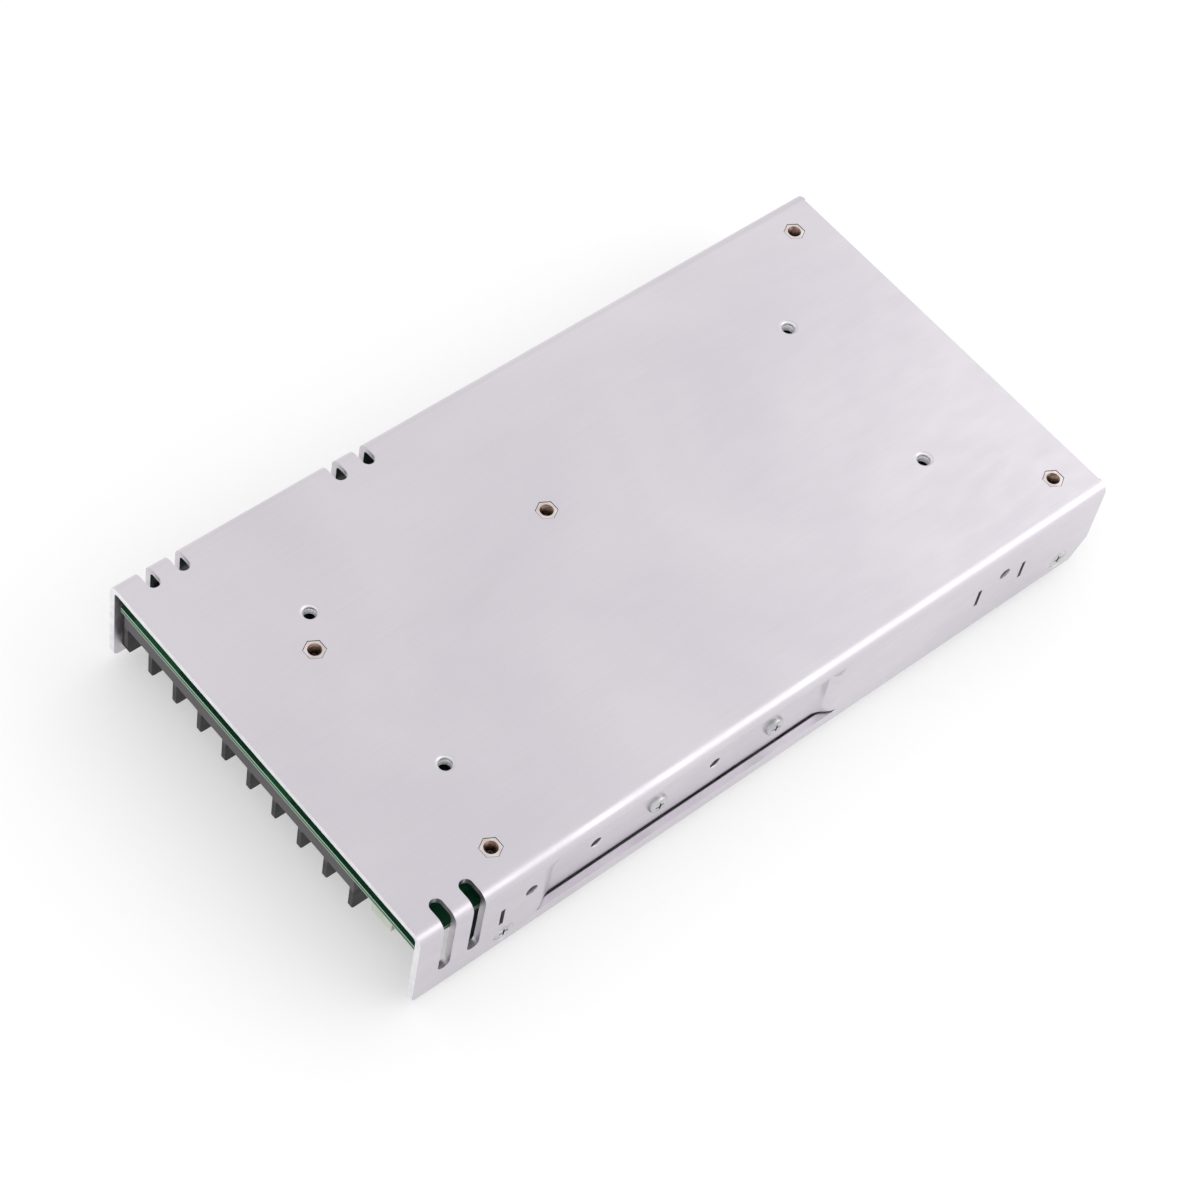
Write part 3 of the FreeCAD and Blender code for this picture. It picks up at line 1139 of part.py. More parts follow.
def transformer():
    """The main transformer: core with two windows, bobbin with two flanges, and its winding."""
    blank = middle_box("core_blank",
                       ("core_span + 2 * core_yoke", "core_width + 2 * core_yoke", "core_height"),
                       ("core_x", "-core_side", "core_low"))
    windows = [
        middle_box(f"core_window_{side + 1}", ("core_span", "core_window", "3 * core_height"),
                   ("core_x", f"-core_side + {side} * (core_leg + core_window) / 2",
                    "core_low - core_height"))
        for side in (-1, 1)
    ]
    node("transformer_core", without("transformer_core", blank, windows))
    tube = around_leg("bobbin_tube", "core_span - 4 * running_gap", "bobbin_wall")
    flanges = [
        middle_box(f"bobbin_flange_{side + 1}",
                   ("bobbin_flange", "core_width - 4 * running_gap", "parts_room"),
                   (f"core_x + {side} * (core_span / 2 - bobbin_flange / 2 - 2 * running_gap)", "-core_side",
                    "parts_low"))
        for side in (-1, 1)
    ]
    leg_room = around_leg("bobbin_leg_tool", "2 * core_span", "0")
    bobbin = joined("bobbin_blank", [tube] + flanges)
    node("transformer_bobbin", without("transformer_bobbin", bobbin, [leg_room]))
    wire = middle_box("winding_blank", ("core_span - 2 * bobbin_flange - 4 * running_gap",
                                        "core_width - bobbin_flange", "parts_room - bobbin_wall"),
                      ("core_x", "-core_side", "parts_low + bobbin_wall / 2"))
    doc.recompute()
    rounded_wire = doc.addObject("Part::Fillet", "winding_rounded")
    rounded_wire.Base = wire
    radius = value("winding_round")
    rounded_wire.Edges = [
        (number, radius, radius) for number, edge in enumerate(wire.Shape.Edges, start=1)
        if edge.BoundBox.XLength > 1
    ]
    tube_room = around_leg("winding_tube_tool", "2 * core_span", "bobbin_wall")
    node("transformer_winding", without("transformer_winding", rounded_wire, [tube_room]))


def auxiliary_transformer():
    """The small auxiliary transformer: a wound middle between two limbs."""
    coil = middle_box("auxiliary_coil",
                      ("helper_length - 2 * bobbin_flange", "helper_width - 2 * helper_yoke",
                       "helper_height - bobbin_flange"),
                      ("helper_x", "helper_y", "parts_z - helper_height + bobbin_flange"))
    limbs = [
        middle_box(f"auxiliary_limb_{side + 1}", ("helper_length", "helper_yoke", "helper_height"),
                   ("helper_x", f"helper_y + {side} * (helper_width - helper_yoke) / 2",
                    "parts_z - helper_height"))
        for side in (-1, 1)
    ]
    node("auxiliary_transformer", joined("auxiliary_transformer", [coil] + limbs))


# Input parts

def fuse_and_clips():
    """The tube fuse in its two spring clips."""
    node("fuse", rod("fuse", "fuse_radius", "fuse_length", ("fuse_x", "fuse_y", "fuse_z"), "+x"))
    starts = ["fuse_x + clip_inset", "fuse_x + fuse_length - clip_inset - clip_length"]
    clips = []
    for number, start in enumerate(starts):
        block = box(f"clip_block_{number}", ("clip_length", "clip_width", "clip_height"),
                    (start, "fuse_y - clip_width / 2", "parts_z - clip_height"))
        bore = rod(f"clip_bore_{number}", "fuse_radius", "3 * clip_length",
                   (f"{start} - clip_length", "fuse_y", "fuse_z"), "+x")
        mouth = box(f"clip_mouth_{number}", ("3 * clip_length", "clip_mouth", "clip_height"),
                    (f"{start} - clip_length", "fuse_y - clip_mouth / 2", "fuse_z - clip_height"))
        clips.append(without(f"clip_{number}", block, [joined(f"clip_room_{number}", [bore, mouth])]))
    node("fuse_clips", together("fuse_clips", clips))


def disc_part(name, x, y, radius, sheet):
    """A disc-shaped component that stands on two leads, with its axis across the case."""
    low = f"parts_z - disc_stand - {radius}"
    disc = rod(name + "_disc", radius, sheet, (x, f"{y} - {sheet} / 2", low), "+y")
    leads = [
        rod(f"{name}_lead_{number}", "lead_round", f"disc_stand + {radius}",
            (f"{x} + {sign} * {radius} / 2", f"{y} + {sign} * {sheet} / 6", low))
        for number, sign in enumerate((-1, 1))
    ]
    return joined(name, [disc] + leads)


def input_parts():
    """Thermistor, varistor, filter capacitors and the bridge rectifier."""
    node("thermistor", disc_part("thermistor", "-end_x + thermistor_front", "wall_in - thermistor_side",
                                 "thermistor_radius", "thermistor_sheet"))
    node("varistor", disc_part("varistor", "-end_x + varistor_front", "wall_in - varistor_side",
                               "varistor_radius", "varistor_sheet"))
    block = middle_box("x_capacitor", ("x_cap_length", "x_cap_width", "x_cap_height"),
                       ("-end_x + x_cap_front", "wall_in - x_cap_side", "parts_z - x_cap_height"))
    node("x_capacitor", block)
    spots = [
        ("-end_x + y_cap_front", "wall_in - y_cap_side"),
        ("-end_x + y_cap_front", "wall_in - y_cap_side + y_cap_pitch"),
        ("-end_x + y_cap_far", "wall_in - y_cap_far_side"),
    ]
    discs = [disc_part(f"y_disc_{number}", x, y, "y_cap_radius", "y_cap_sheet")
             for number, (x, y) in enumerate(spots)]
    node("y_capacitors", together("y_capacitors", discs))
    body = middle_box("bridge_body", ("bridge_length", "bridge_sheet", "bridge_height"),
                      ("bridge_x", "bridge_y", "parts_z - lead_drop - bridge_height"))
    leads = [
        middle_box(f"bridge_lead_{number}", ("lead_width", "lead_sheet", "lead_drop + lead_width"),
                   (f"bridge_x + {number - 1.5} * bridge_pitch", "bridge_y",
                    "parts_z - lead_drop - lead_width"))
        for number in range(4)
    ]
    node("bridge_rectifier", joined("bridge_rectifier", [body] + leads))


def can(name, x, y, radius):
    """An aluminium capacitor can with the crimped groove near its base."""
    body = rod(name + "_body", radius, "parts_room", (x, y, "parts_low"))
    groove = doc.addObject("Part::Torus", name + "_groove")
    bind(groove, Radius1=f"{radius} + can_groove / 2", Radius2="can_groove")
    stand(groove, (x, y, "parts_z - can_rise"))
    return without(name, body, [groove])


def capacitors():
    """Bulk, output and small electrolytic capacitors, and the snubber capacitor."""
    bulk = [can(f"bulk_{number}", f"bulk_x + {number} * bulk_pitch", "wall_in - bulk_side", "bulk_radius")
            for number in range(2)]
    node("bulk_capacitors", together("bulk_capacitors", bulk))
    output = [
        can(f"output_can_{column}_{row}", f"-end_x + can_front + {column} * can_pitch",
            f"-can_side - {row} * can_pitch", "can_radius")
        for column in range(3) for row in range(2)
    ]
    node("output_capacitors", together("output_capacitors", output))
    spots = [
        ("-end_x + can_front + 3 * can_pitch", "-recess_in + 5 * small_radius"),
        ("helper_x", "-smooth_side - 2 * small_radius"),
        ("helper_x", "-smooth_side - 5 * small_radius"),
        ("-end_x * bulk_share + small_radius", "2 * small_radius"),
    ]
    small = [rod(f"small_can_{number}", "small_radius", "small_height", (x, y, "parts_z - small_height"))
             for number, (x, y) in enumerate(spots)]
    node("small_capacitors", together("small_capacitors", small))
    block = middle_box("snubber_capacitor", ("snubber_length", "snubber_width", "small_height"),
                       ("end_x * snubber_share", "-snubber_side", "parts_z - small_height"))
    node("snubber_capacitor", block)


def chip(name, x, y, length):
    """A dual in-line chip on its legs."""
    body = middle_box(name + "_body", (length, "chip_width", "chip_height"),
                      (x, y, "parts_z - chip_stand - chip_height"))
    legs = [
        middle_box(f"{name}_legs_{side + 1}",
                   (f"{length} - 3 * chip_leg", "chip_leg", "chip_stand + chip_height / 2"),
                   (x, f"{y} + {side} * (chip_width + chip_leg) / 2",
                    "parts_z - chip_stand - chip_height / 2"))
        for side in (-1, 1)
    ]
    return joined(name, [body] + legs)


def control_parts():
    """Power resistors, the control chips and the optocouplers."""
    resistors = []
    for number in range(2):
        start = ("resistor_x", f"-resistor_side - {number} * resistor_pitch", "parts_z - resistor_drop")
        tube = rod(f"resistor_tube_{number}", "resistor_radius", "resistor_length", start, "+x")
        legs = [
            rod(f"resistor_leg_{number}_{end}", "lead_round", "resistor_drop",
                (f"resistor_x + 2 * lead_round + {end} * (resistor_length - 4 * lead_round)", *start[1:]))
            for end in range(2)
        ]
        resistors.append(joined(f"resistor_{number}", [tube] + legs))
    node("power_resistors", together("power_resistors", resistors))
    chip_spots = [
        ("helper_x", "chip_width"),
        ("smooth_x - chip_length", "-recess_in + 2 * chip_width"),
    ]
    chips = [chip(f"control_chip_{number}", x, y, "chip_length") for number, (x, y) in enumerate(chip_spots)]
    node("control_chips", together("control_chips", chips))
    coupler_spots = [
        ("helper_x", "-chip_width / 2"),
        ("helper_x", "-2 * chip_width"),
        ("smooth_x + 2 * smooth_radius - coupler_length / 2", "-smooth_side"),
    ]
    couplers = [chip(f"optocoupler_{number}", x, y, "coupler_length")
                for number, (x, y) in enumerate(coupler_spots)]
    node("optocouplers", together("optocouplers", couplers))


def check_and_export():
    """Stop on any failed object or bad shape, then write one file for each node."""
    doc.recompute()
    failed = [item.Name for item in doc.Objects if "Invalid" in item.State or "Error" in item.State]
    if failed:
        raise SystemExit("failed objects: " + ", ".join(failed))
    for item in NODES:
        if item.Shape.isNull() or not item.Shape.isValid():
            raise SystemExit("bad shape: " + item.Label)
    os.makedirs("parts", exist_ok=True)
    for item in NODES:
        item.Shape.exportStep(f"parts/{item.Label}.step")
        box_of = item.Shape.BoundBox
        print(f"{item.Label:24s} solids {len(item.Shape.Solids):3d}  volume {item.Shape.Volume:10.1f}  "
              f"x {box_of.XMin:7.1f} {box_of.XMax:7.1f}  y {box_of.YMin:6.1f} {box_of.YMax:6.1f}  "
              f"z {box_of.ZMin:5.1f} {box_of.ZMax:5.1f}")


chassis()
mesh_cover()
cover_screws()
standoffs()
circuit_board()
board_screws()
insulation_sheet()
terminal_block()
terminal_metal()
trimmer()
indicator_lamp()
selector()
wall_devices()
heatsink_group()
chokes()
transformer()
auxiliary_transformer()
fuse_and_clips()
input_parts()
capacitors()
control_parts()
check_and_export()
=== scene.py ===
"""Looks of the mesh case switching power supply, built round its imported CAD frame.

The supply lies on its perforated cover with the base plate up, as it is photographed. Sizes are in
millimetres in the row frame of the CAD model, and every mesh ends in metres with its object at the origin.
"""
from __future__ import annotations

import json
import logging
import math
import random
from abc import ABC, abstractmethod
from collections.abc import Callable, Sequence
from dataclasses import dataclass
from enum import Enum

import bmesh
import bpy
from mathutils import Matrix, Vector

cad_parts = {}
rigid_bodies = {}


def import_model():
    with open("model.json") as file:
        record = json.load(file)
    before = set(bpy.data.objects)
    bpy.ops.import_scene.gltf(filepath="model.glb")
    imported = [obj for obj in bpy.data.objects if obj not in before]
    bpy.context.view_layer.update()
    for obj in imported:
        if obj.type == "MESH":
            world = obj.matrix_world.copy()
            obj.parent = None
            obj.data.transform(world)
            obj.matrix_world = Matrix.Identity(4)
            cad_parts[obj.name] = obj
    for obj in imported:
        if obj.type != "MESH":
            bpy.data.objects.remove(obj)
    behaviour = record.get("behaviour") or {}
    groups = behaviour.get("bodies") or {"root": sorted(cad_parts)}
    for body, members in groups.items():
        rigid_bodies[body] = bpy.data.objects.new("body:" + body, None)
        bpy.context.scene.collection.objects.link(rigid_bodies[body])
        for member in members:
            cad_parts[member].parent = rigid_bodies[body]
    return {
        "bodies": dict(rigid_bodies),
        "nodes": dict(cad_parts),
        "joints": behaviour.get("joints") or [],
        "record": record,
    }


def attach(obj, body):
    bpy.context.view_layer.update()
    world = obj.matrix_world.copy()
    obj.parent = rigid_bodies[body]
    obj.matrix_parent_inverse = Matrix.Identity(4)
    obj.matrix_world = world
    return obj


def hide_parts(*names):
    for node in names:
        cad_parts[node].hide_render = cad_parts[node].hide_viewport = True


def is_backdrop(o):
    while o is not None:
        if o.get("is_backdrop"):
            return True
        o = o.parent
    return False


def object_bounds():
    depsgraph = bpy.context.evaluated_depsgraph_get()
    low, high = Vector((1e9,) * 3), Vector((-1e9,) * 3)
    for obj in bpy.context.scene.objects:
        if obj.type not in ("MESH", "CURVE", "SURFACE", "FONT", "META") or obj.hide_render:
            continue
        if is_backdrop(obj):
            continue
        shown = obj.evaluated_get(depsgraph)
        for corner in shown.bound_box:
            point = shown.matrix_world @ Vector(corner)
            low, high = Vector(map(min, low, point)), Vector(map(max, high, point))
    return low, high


log = logging.getLogger("power_supply")

MM = 0.001
Point = tuple[float, float, float]
Colour = tuple[float, float, float]

# Materials made so far, by the name of their finish
PAINTED: dict[str, bpy.types.Material] = {}


class Way(Enum):
    """A direction across the case or along its height, in the row frame."""

    BACK = (0, 1, 0)
    FRONT = (0, -1, 0)
    UP = (0, 0, 1)
    DOWN = (0, 0, -1)


class Solve(Enum):
    """What a boolean does with its tool."""

    CUT = "DIFFERENCE"
    JOIN = "UNION"


# Modelling


class Bench:
    """Steps in object mode that every sub-assembly shares. Sizes are in millimetres."""

    @staticmethod
    def pick(*items: bpy.types.Object) -> None:
        """Select only these objects and make the first one active."""
        bpy.ops.object.select_all(action="DESELECT")
        for item in items:
            item.select_set(True)
        bpy.context.view_layer.objects.active = items[0]

    @staticmethod
    def settle(item: bpy.types.Object, name: str | None = None) -> bpy.types.Object:
        """Write an object's place, turn and scale into its mesh.

        Args:
            item: The object to settle.
            name: A new name for it, if it gets one.

        Returns:
            The same object, at the origin.
        """
        Bench.pick(item)
        bpy.ops.object.transform_apply(location=True, rotation=True, scale=True)
        if name is not None:
            item.name = name
            item.data.name = name
        return item

    @staticmethod
    def block(name: str, low: Point, high: Point) -> bpy.types.Object:
        """Make a block between two corners."""
        first, last = Vector(low) * MM, Vector(high) * MM
        bpy.ops.object.select_all(action="DESELECT")
        bpy.ops.mesh.primitive_cube_add(size=1, location=(first + last) / 2, scale=last - first)
        return Bench.settle(bpy.context.object, name)

    @staticmethod
    def rod(name: str, start: Point, way: Way, radius: float, length: float,
            sides: int = 48, end_radius: float | None = None) -> bpy.types.Object:
        """Make a round, tapered or prismatic rod.

        Args:
            name: Name of the object.
            start: Middle of the rod's first end.
            way: Where the rod points from there.
            radius: Radius at the first end.
            length: Length of the rod.
            sides: Number of sides round it.
            end_radius: Radius at the other end, if it differs.

        Returns:
            The rod, settled.
        """
        bpy.ops.object.select_all(action="DESELECT")
        bpy.ops.mesh.primitive_cone_add(
            vertices=sides, radius1=radius * MM, radius2=(radius if end_radius is None else end_radius) * MM,
            depth=length * MM, end_fill_type="NGON")
        item = bpy.context.object
        Bench.aim(item, way)
        item.location = (Vector(start) + Vector(way.value) * length / 2) * MM
        return Bench.settle(item, name)

    @staticmethod
    def aim(item: bpy.types.Object, way: Way) -> None:
        """Turn an object so that its own Z points the given way."""
        item.rotation_mode = "QUATERNION"
        item.rotation_quaternion = Vector((0, 0, 1)).rotation_difference(Vector(way.value))

    @staticmethod
    def lathe(name: str, profile: Sequence[tuple[float, float]], start: Point, way: Way,
              sides: int = 40) -> bpy.types.Object:
        """Spin a profile into a turned piece.

        Args:
            name: Name of the piece.
            profile: Corners of the profile, each a radius and a height.
            start: Where height zero lies on the axis.
            way: Where the axis points.
            sides: Number of steps round the axis.

        Returns:
            The turned piece, settled.
        """
        bpy.ops.object.select_all(action="DESELECT")
        bpy.ops.mesh.primitive_plane_add(size=MM)
        item = bpy.context.object
        with Editing(item) as edit:
            bpy.ops.mesh.select_all(action="SELECT")
            bpy.ops.mesh.merge(type="CENTER")
            radius, height = profile[0]
            bpy.ops.transform.translate(value=(radius * MM, 0, height * MM))
            for (last_r, last_h), (next_r, next_h) in zip(profile, profile[1:]):
                step = ((next_r - last_r) * MM, 0, (next_h - last_h) * MM)
                bpy.ops.mesh.extrude_region_move(TRANSFORM_OT_translate={"value": step})
            bpy.ops.mesh.select_all(action="SELECT")
            bpy.ops.mesh.spin(steps=sides, angle=math.tau, center=(0, 0, 0), axis=(0, 0, 1))
            edit.clean()
        Bench.aim(item, way)
        item.location = Vector(start) * MM
        return Bench.settle(item, name)

    @staticmethod
    def copy(item: bpy.types.Object, shift: Point) -> bpy.types.Object:
        """Copy an object with its mesh and move the copy."""
        Bench.pick(item)
        bpy.ops.object.duplicate(linked=False)
        made = bpy.context.object
        made.location = made.location + Vector(shift) * MM
        return Bench.settle(made)

    @staticmethod
    def merge(name: str, items: Sequence[bpy.types.Object]) -> bpy.types.Object:
        """Join objects into one."""
        Bench.pick(*items)
        if len(items) > 1:
            bpy.ops.object.join()
        made = items[0]
        made.name = name
        made.data.name = name
        return made

    @staticmethod
    def modify(item: bpy.types.Object, kind: str, **settings: object) -> None:
        """Add a modifier with its settings and apply it."""
        Bench.pick(item)
        modifier = item.modifiers.new(kind.lower(), kind)
        for key, value in settings.items():
            setattr(modifier, key, value)
        bpy.ops.object.modifier_apply(modifier=modifier.name)

    @staticmethod
    def solve(item: bpy.types.Object, tools: Sequence[bpy.types.Object], how: Solve) -> None:
        """Cut or join tools that don't touch each other, and remove them."""
        tool = Bench.merge("tool", tools)
        Bench.modify(item, "BOOLEAN", operation=how.value, object=tool, solver="EXACT")
        bpy.data.objects.remove(tool)

    @staticmethod
    def soften(item: bpy.types.Object, width: float, segments: int = 2, angle: float = 40) -> None:
        """Round every edge that is sharper than an angle."""
        Bench.modify(item, "BEVEL", width=width * MM, segments=segments, limit_method="ANGLE",
                     angle_limit=math.radians(angle), use_clamp_overlap=True, loop_slide=True)

    @staticmethod
    def shade(item: bpy.types.Object, angle: float = 32) -> None:
        """Shade smooth up to an angle, with flat faces kept flat."""
        Bench.pick(item)
        bpy.ops.object.shade_smooth_by_angle(angle=math.radians(angle))
        Bench.modify(item, "WEIGHTED_NORMAL", keep_sharp=True, weight=60)

    @staticmethod
    def repeat(item: bpy.types.Object, count: int, step: Point) -> None:
        """Repeat an object in a straight row."""
        Bench.modify(item, "ARRAY", count=count, use_relative_offset=False, use_constant_offset=True,
                     constant_offset_displace=tuple(part * MM for part in step))

    @staticmethod
    def set_apart(item: bpy.types.Object, test: Callable[[Vector, Vector], bool],
                  finishes: Sequence[Finish | None] = (None, None)) -> None:
        """Give an object two material slots and put chosen faces in the second one.

        Args:
            item: The object, which has no slots yet.
            test: Says by its middle and its normal whether a face is chosen.
            finishes: The finishes of the two slots, or none where they come later.
        """
        for finish in finishes:
            item.data.materials.append(finish.material() if finish else None)
        with Editing(item) as edit:
            edit.faces(test)
            item.active_material_index = 1
            bpy.ops.object.material_slot_assign()


class Editing:
    """A stretch of edit mode on one object, with parts of the mesh chosen by where they are."""

    def __init__(self, item: bpy.types.Object) -> None:
        """Remember the object."""
        self.item = item

    def __enter__(self) -> Editing:
        """Enter edit mode."""
        Bench.pick(self.item)
        bpy.ops.object.mode_set(mode="EDIT")
        bpy.ops.mesh.select_mode(type="VERT")
        return self

    def __exit__(self, *_: object) -> None:
        """Leave edit mode."""
        bpy.ops.object.mode_set(mode="OBJECT")

    def _start(self, kind: str) -> bmesh.types.BMesh:
        """Clear the selection and open the mesh for choosing."""
        bpy.ops.mesh.select_mode(type=kind)
        bpy.ops.mesh.select_all(action="DESELECT")
        return bmesh.from_edit_mesh(self.item.data)

    def _close(self, mesh: bmesh.types.BMesh) -> None:
        """Carry the selection over to the edit mesh."""
        mesh.select_flush_mode()
        bmesh.update_edit_mesh(self.item.data)

    def faces(self, test: Callable[[Vector, Vector], bool]) -> int:
        """Choose faces by their middle, in millimetres, and their normal.

        Returns:
            How many faces are chosen.
        """
        mesh = self._start("FACE")
        chosen = [f for f in mesh.faces if test(f.calc_center_median() / MM, f.normal)]
        for found in chosen:
            found.select_set(True)
        self._close(mesh)
        return len(chosen)

    def edges(self, test: Callable[[Vector, Vector], bool]) -> int:
        """Choose edges by their two ends, in millimetres.

        Returns:
            How many edges are chosen.
        """
        mesh = self._start("EDGE")
        chosen = [e for e in mesh.edges if test(e.verts[0].co / MM, e.verts[1].co / MM)]
        for found in chosen:
            found.select_set(True)
        self._close(mesh)
        return len(chosen)

    def points(self, test: Callable[[Vector], bool]) -> int:
        """Choose vertices by their place, in millimetres.

        Returns:
            How many vertices are chosen.
        """
        mesh = self._start("VERT")
        chosen = [v for v in mesh.verts if test(v.co / MM)]
        for found in chosen:
            found.select_set(True)
        self._close(mesh)
        return len(chosen)

    def move(self, shift: Point) -> None:
        """Move what is chosen."""
        bpy.ops.transform.translate(value=Vector(shift) * MM)

    def bevel(self, width: float, segments: int) -> None:
        """Round the chosen edges."""
        bpy.ops.mesh.bevel(offset_type="OFFSET", offset=width * MM, segments=segments, affect="EDGES",
                           clamp_overlap=True)

    def split(self, at: Point, normal: Point) -> None:
        """Cut the chosen faces along a plane."""
        bpy.ops.mesh.bisect(plane_co=Vector(at) * MM, plane_no=normal)

    def clean(self) -> None:
        """Merge doubles and turn every face outwards."""
        bpy.ops.mesh.select_all(action="SELECT")
        bpy.ops.mesh.remove_doubles(threshold=MM / 1000)
        bpy.ops.mesh.normals_make_consistent(inside=False)


def close(first: float, second: float, room: float = 0.01) -> bool:
    """Whether two lengths are the same, in millimetres."""
    return abs(first - second) < room


def within(value: float, low: float, high: float, room: float = 0.01) -> bool:
    """Whether a length lies in a span, in millimetres."""
    return low - room <= value <= high + room


# Finishes


class Tree:
    """The node tree of one material, with one Principled shader."""

    def __init__(self, name: str) -> None:
        """Start a material with its shader and the object's own coordinates."""
        self.material = bpy.data.materials.new(name)
        self.material.use_nodes = True
        self.nodes = self.material.node_tree.nodes
        self.nodes.clear()
        self.shader = self.add("ShaderNodeBsdfPrincipled")
        self.output = self.add("ShaderNodeOutputMaterial")
        self.join(self.shader.outputs["BSDF"], self.output.inputs["Surface"])
        self.place = self.add("ShaderNodeTexCoord").outputs["Object"]

    def add(self, kind: str, **settings: object) -> bpy.types.Node:
        """Add a node with its settings."""
        made = self.nodes.new(kind)
        for key, value in settings.items():
            setattr(made, key, value)
        return made

    def join(self, source: bpy.types.NodeSocket, target: bpy.types.NodeSocket) -> None:
        """Link two sockets."""
        self.material.node_tree.links.new(source, target)

    def stretch(self, scale: Point) -> bpy.types.NodeSocket:
        """Give the object's coordinates with each axis scaled by its own factor."""
        node = self.add("ShaderNodeMapping")
        node.inputs["Scale"].default_value = scale
        self.join(self.place, node.inputs["Vector"])
        return node.outputs["Vector"]

    def noise(self, scale: float, detail: float = 2, vector: bpy.types.NodeSocket | None = None,
              distortion: float = 0) -> bpy.types.NodeSocket:
        """Add a noise over the object's coordinates, or over a given vector."""
        node = self.add("ShaderNodeTexNoise")
        node.inputs["Scale"].default_value = scale
        node.inputs["Detail"].default_value = detail
        node.inputs["Distortion"].default_value = distortion
        self.join(vector or self.place, node.inputs["Vector"])
        return node.outputs["Fac"]

    def ramp(self, factor: bpy.types.NodeSocket,
             stops: Sequence[tuple[float, Colour]]) -> bpy.types.NodeSocket:
        """Turn a factor into a colour along stops."""
        node = self.add("ShaderNodeValToRGB")
        band = node.color_ramp.elements
        band[0].position, band[0].color = stops[0][0], (*stops[0][1], 1)
        band[1].position, band[1].color = stops[-1][0], (*stops[-1][1], 1)
        for place, colour in stops[1:-1]:
            band.new(place).color = (*colour, 1)
        self.join(factor, node.inputs["Fac"])
        return node.outputs["Color"]

    def remap(self, factor: bpy.types.NodeSocket, old: tuple[float, float],
              new: tuple[float, float]) -> bpy.types.NodeSocket:
        """Map one range of a factor to another, clamped."""
        node = self.add("ShaderNodeMapRange")
        for socket, number in zip(("From Min", "From Max", "To Min", "To Max"), (*old, *new)):
            node.inputs[socket].default_value = number
        self.join(factor, node.inputs["Value"])
        return node.outputs["Result"]

    def maths(self, how: str, first: bpy.types.NodeSocket,
              second: bpy.types.NodeSocket | float) -> bpy.types.NodeSocket:
        """Combine a varying value with another value or a number."""
        node = self.add("ShaderNodeMath", operation=how)
        self.join(first, node.inputs[0])
        if isinstance(second, (int, float)):
            node.inputs[1].default_value = second
        else:
            self.join(second, node.inputs[1])
        return node.outputs["Value"]

    def blend(self, factor: bpy.types.NodeSocket, first: bpy.types.NodeSocket | Colour,
              second: bpy.types.NodeSocket | Colour) -> bpy.types.NodeSocket:
        """Mix two colours by a varying factor."""
        node = self.add("ShaderNodeMix", data_type="RGBA")
        self.join(factor, node.inputs["Factor"])
        for socket, colour in ((node.inputs["A"], first), (node.inputs["B"], second)):
            if isinstance(colour, tuple):
                socket.default_value = (*colour, 1)
            else:
                self.join(colour, socket)
        return node.outputs["Result"]

    def feed(self, name: str, source: bpy.types.NodeSocket) -> None:
        """Link a varying value to an input of the shader."""
        self.join(source, self.shader.inputs[name])

    def relief(self, height: bpy.types.NodeSocket, strength: float, depth: float) -> None:
        """Bump the surface by a height, in millimetres of depth."""
        node = self.add("ShaderNodeBump")
        node.inputs["Strength"].default_value = strength
        node.inputs["Distance"].default_value = depth * MM
        self.join(height, node.inputs["Height"])
        self.feed("Normal", node.outputs["Normal"])

    def set(self, **values: float | tuple) -> None:
        """Set sockets of the shader by name, with underscores for spaces."""
        for key, value in values.items():
            self.shader.inputs[key.replace("_", " ")].default_value = value

    def axis(self, name: str) -> bpy.types.NodeSocket:
        """Give one coordinate of the object, in metres."""
        node = self.add("ShaderNodeSeparateXYZ")
        self.join(self.place, node.inputs["Vector"])
        return node.outputs[name]


class Finish(ABC):
    """A finish that can be made into a material once."""

    name: str

    @abstractmethod
    def paint(self, tree: Tree) -> None:
        """Build the finish in a new material's tree."""

    def material(self) -> bpy.types.Material:
        """Return the finish's material, made at its first use."""
        if self.name not in PAINTED:
            tree = Tree(f"{self.name}_finish")
            self.paint(tree)
            PAINTED[self.name] = tree.material
        return PAINTED[self.name]


@dataclass(frozen=True)
class RolledSheet(Finish):
    """Satin rolled sheet metal: faint grain along the sheet, soft mottling and small rub marks."""

    name: str
    dark: Colour
    light: Colour
    rough: float = 0.42
    grain: Point = (40, 2200, 2200)
    cloud: float = 14
    rub: float = 0.05

    def paint(self, tree: Tree) -> None:
        """Vary colour, roughness and relief of a metal."""
        cloud = tree.noise(self.cloud, 4, distortion=0.6)
        grain = tree.noise(1, 3, tree.stretch(self.grain))
        speck = tree.noise(1700, 2)
        tone = tree.maths("ADD", cloud, tree.remap(grain, (0.3, 0.7), (-0.05, 0.05)))
        tone = tree.maths("ADD", tone, tree.remap(speck, (0.3, 0.7), (-0.04, 0.04)))
        tree.feed("Base Color", tree.ramp(tone, [(0.32, self.dark), (0.68, self.light)]))
        rub = tree.noise(1, 5, tree.stretch((90, 260, 260)))
        worn = tree.remap(rub, (0.35, 0.65), (self.rough - self.rub, self.rough + self.rub))
        rough = tree.maths("ADD", worn, tree.remap(speck, (0.3, 0.7), (-0.03, 0.03)))
        tree.feed("Roughness", rough)
        tree.relief(tree.maths("ADD", grain, speck), 0.12, 0.02)
        tree.set(Metallic=1.0)


@dataclass(frozen=True)
class PlatedMetal(Finish):
    """Plated or bare turned metal with a fine uneven lustre."""

    name: str
    dark: Colour
    light: Colour
    rough: float = 0.28
    scale: float = 420

    def paint(self, tree: Tree) -> None:
        """Vary colour and roughness of a bright metal."""
        spot = tree.noise(self.scale, 4)
        tree.feed("Base Color", tree.ramp(spot, [(0.35, self.dark), (0.65, self.light)]))
        tree.feed("Roughness", tree.remap(tree.noise(self.scale * 3, 3), (0.3, 0.7),
                                          (self.rough - 0.08, self.rough + 0.1)))
        tree.relief(spot, 0.1, 0.02)
        tree.set(Metallic=1.0)


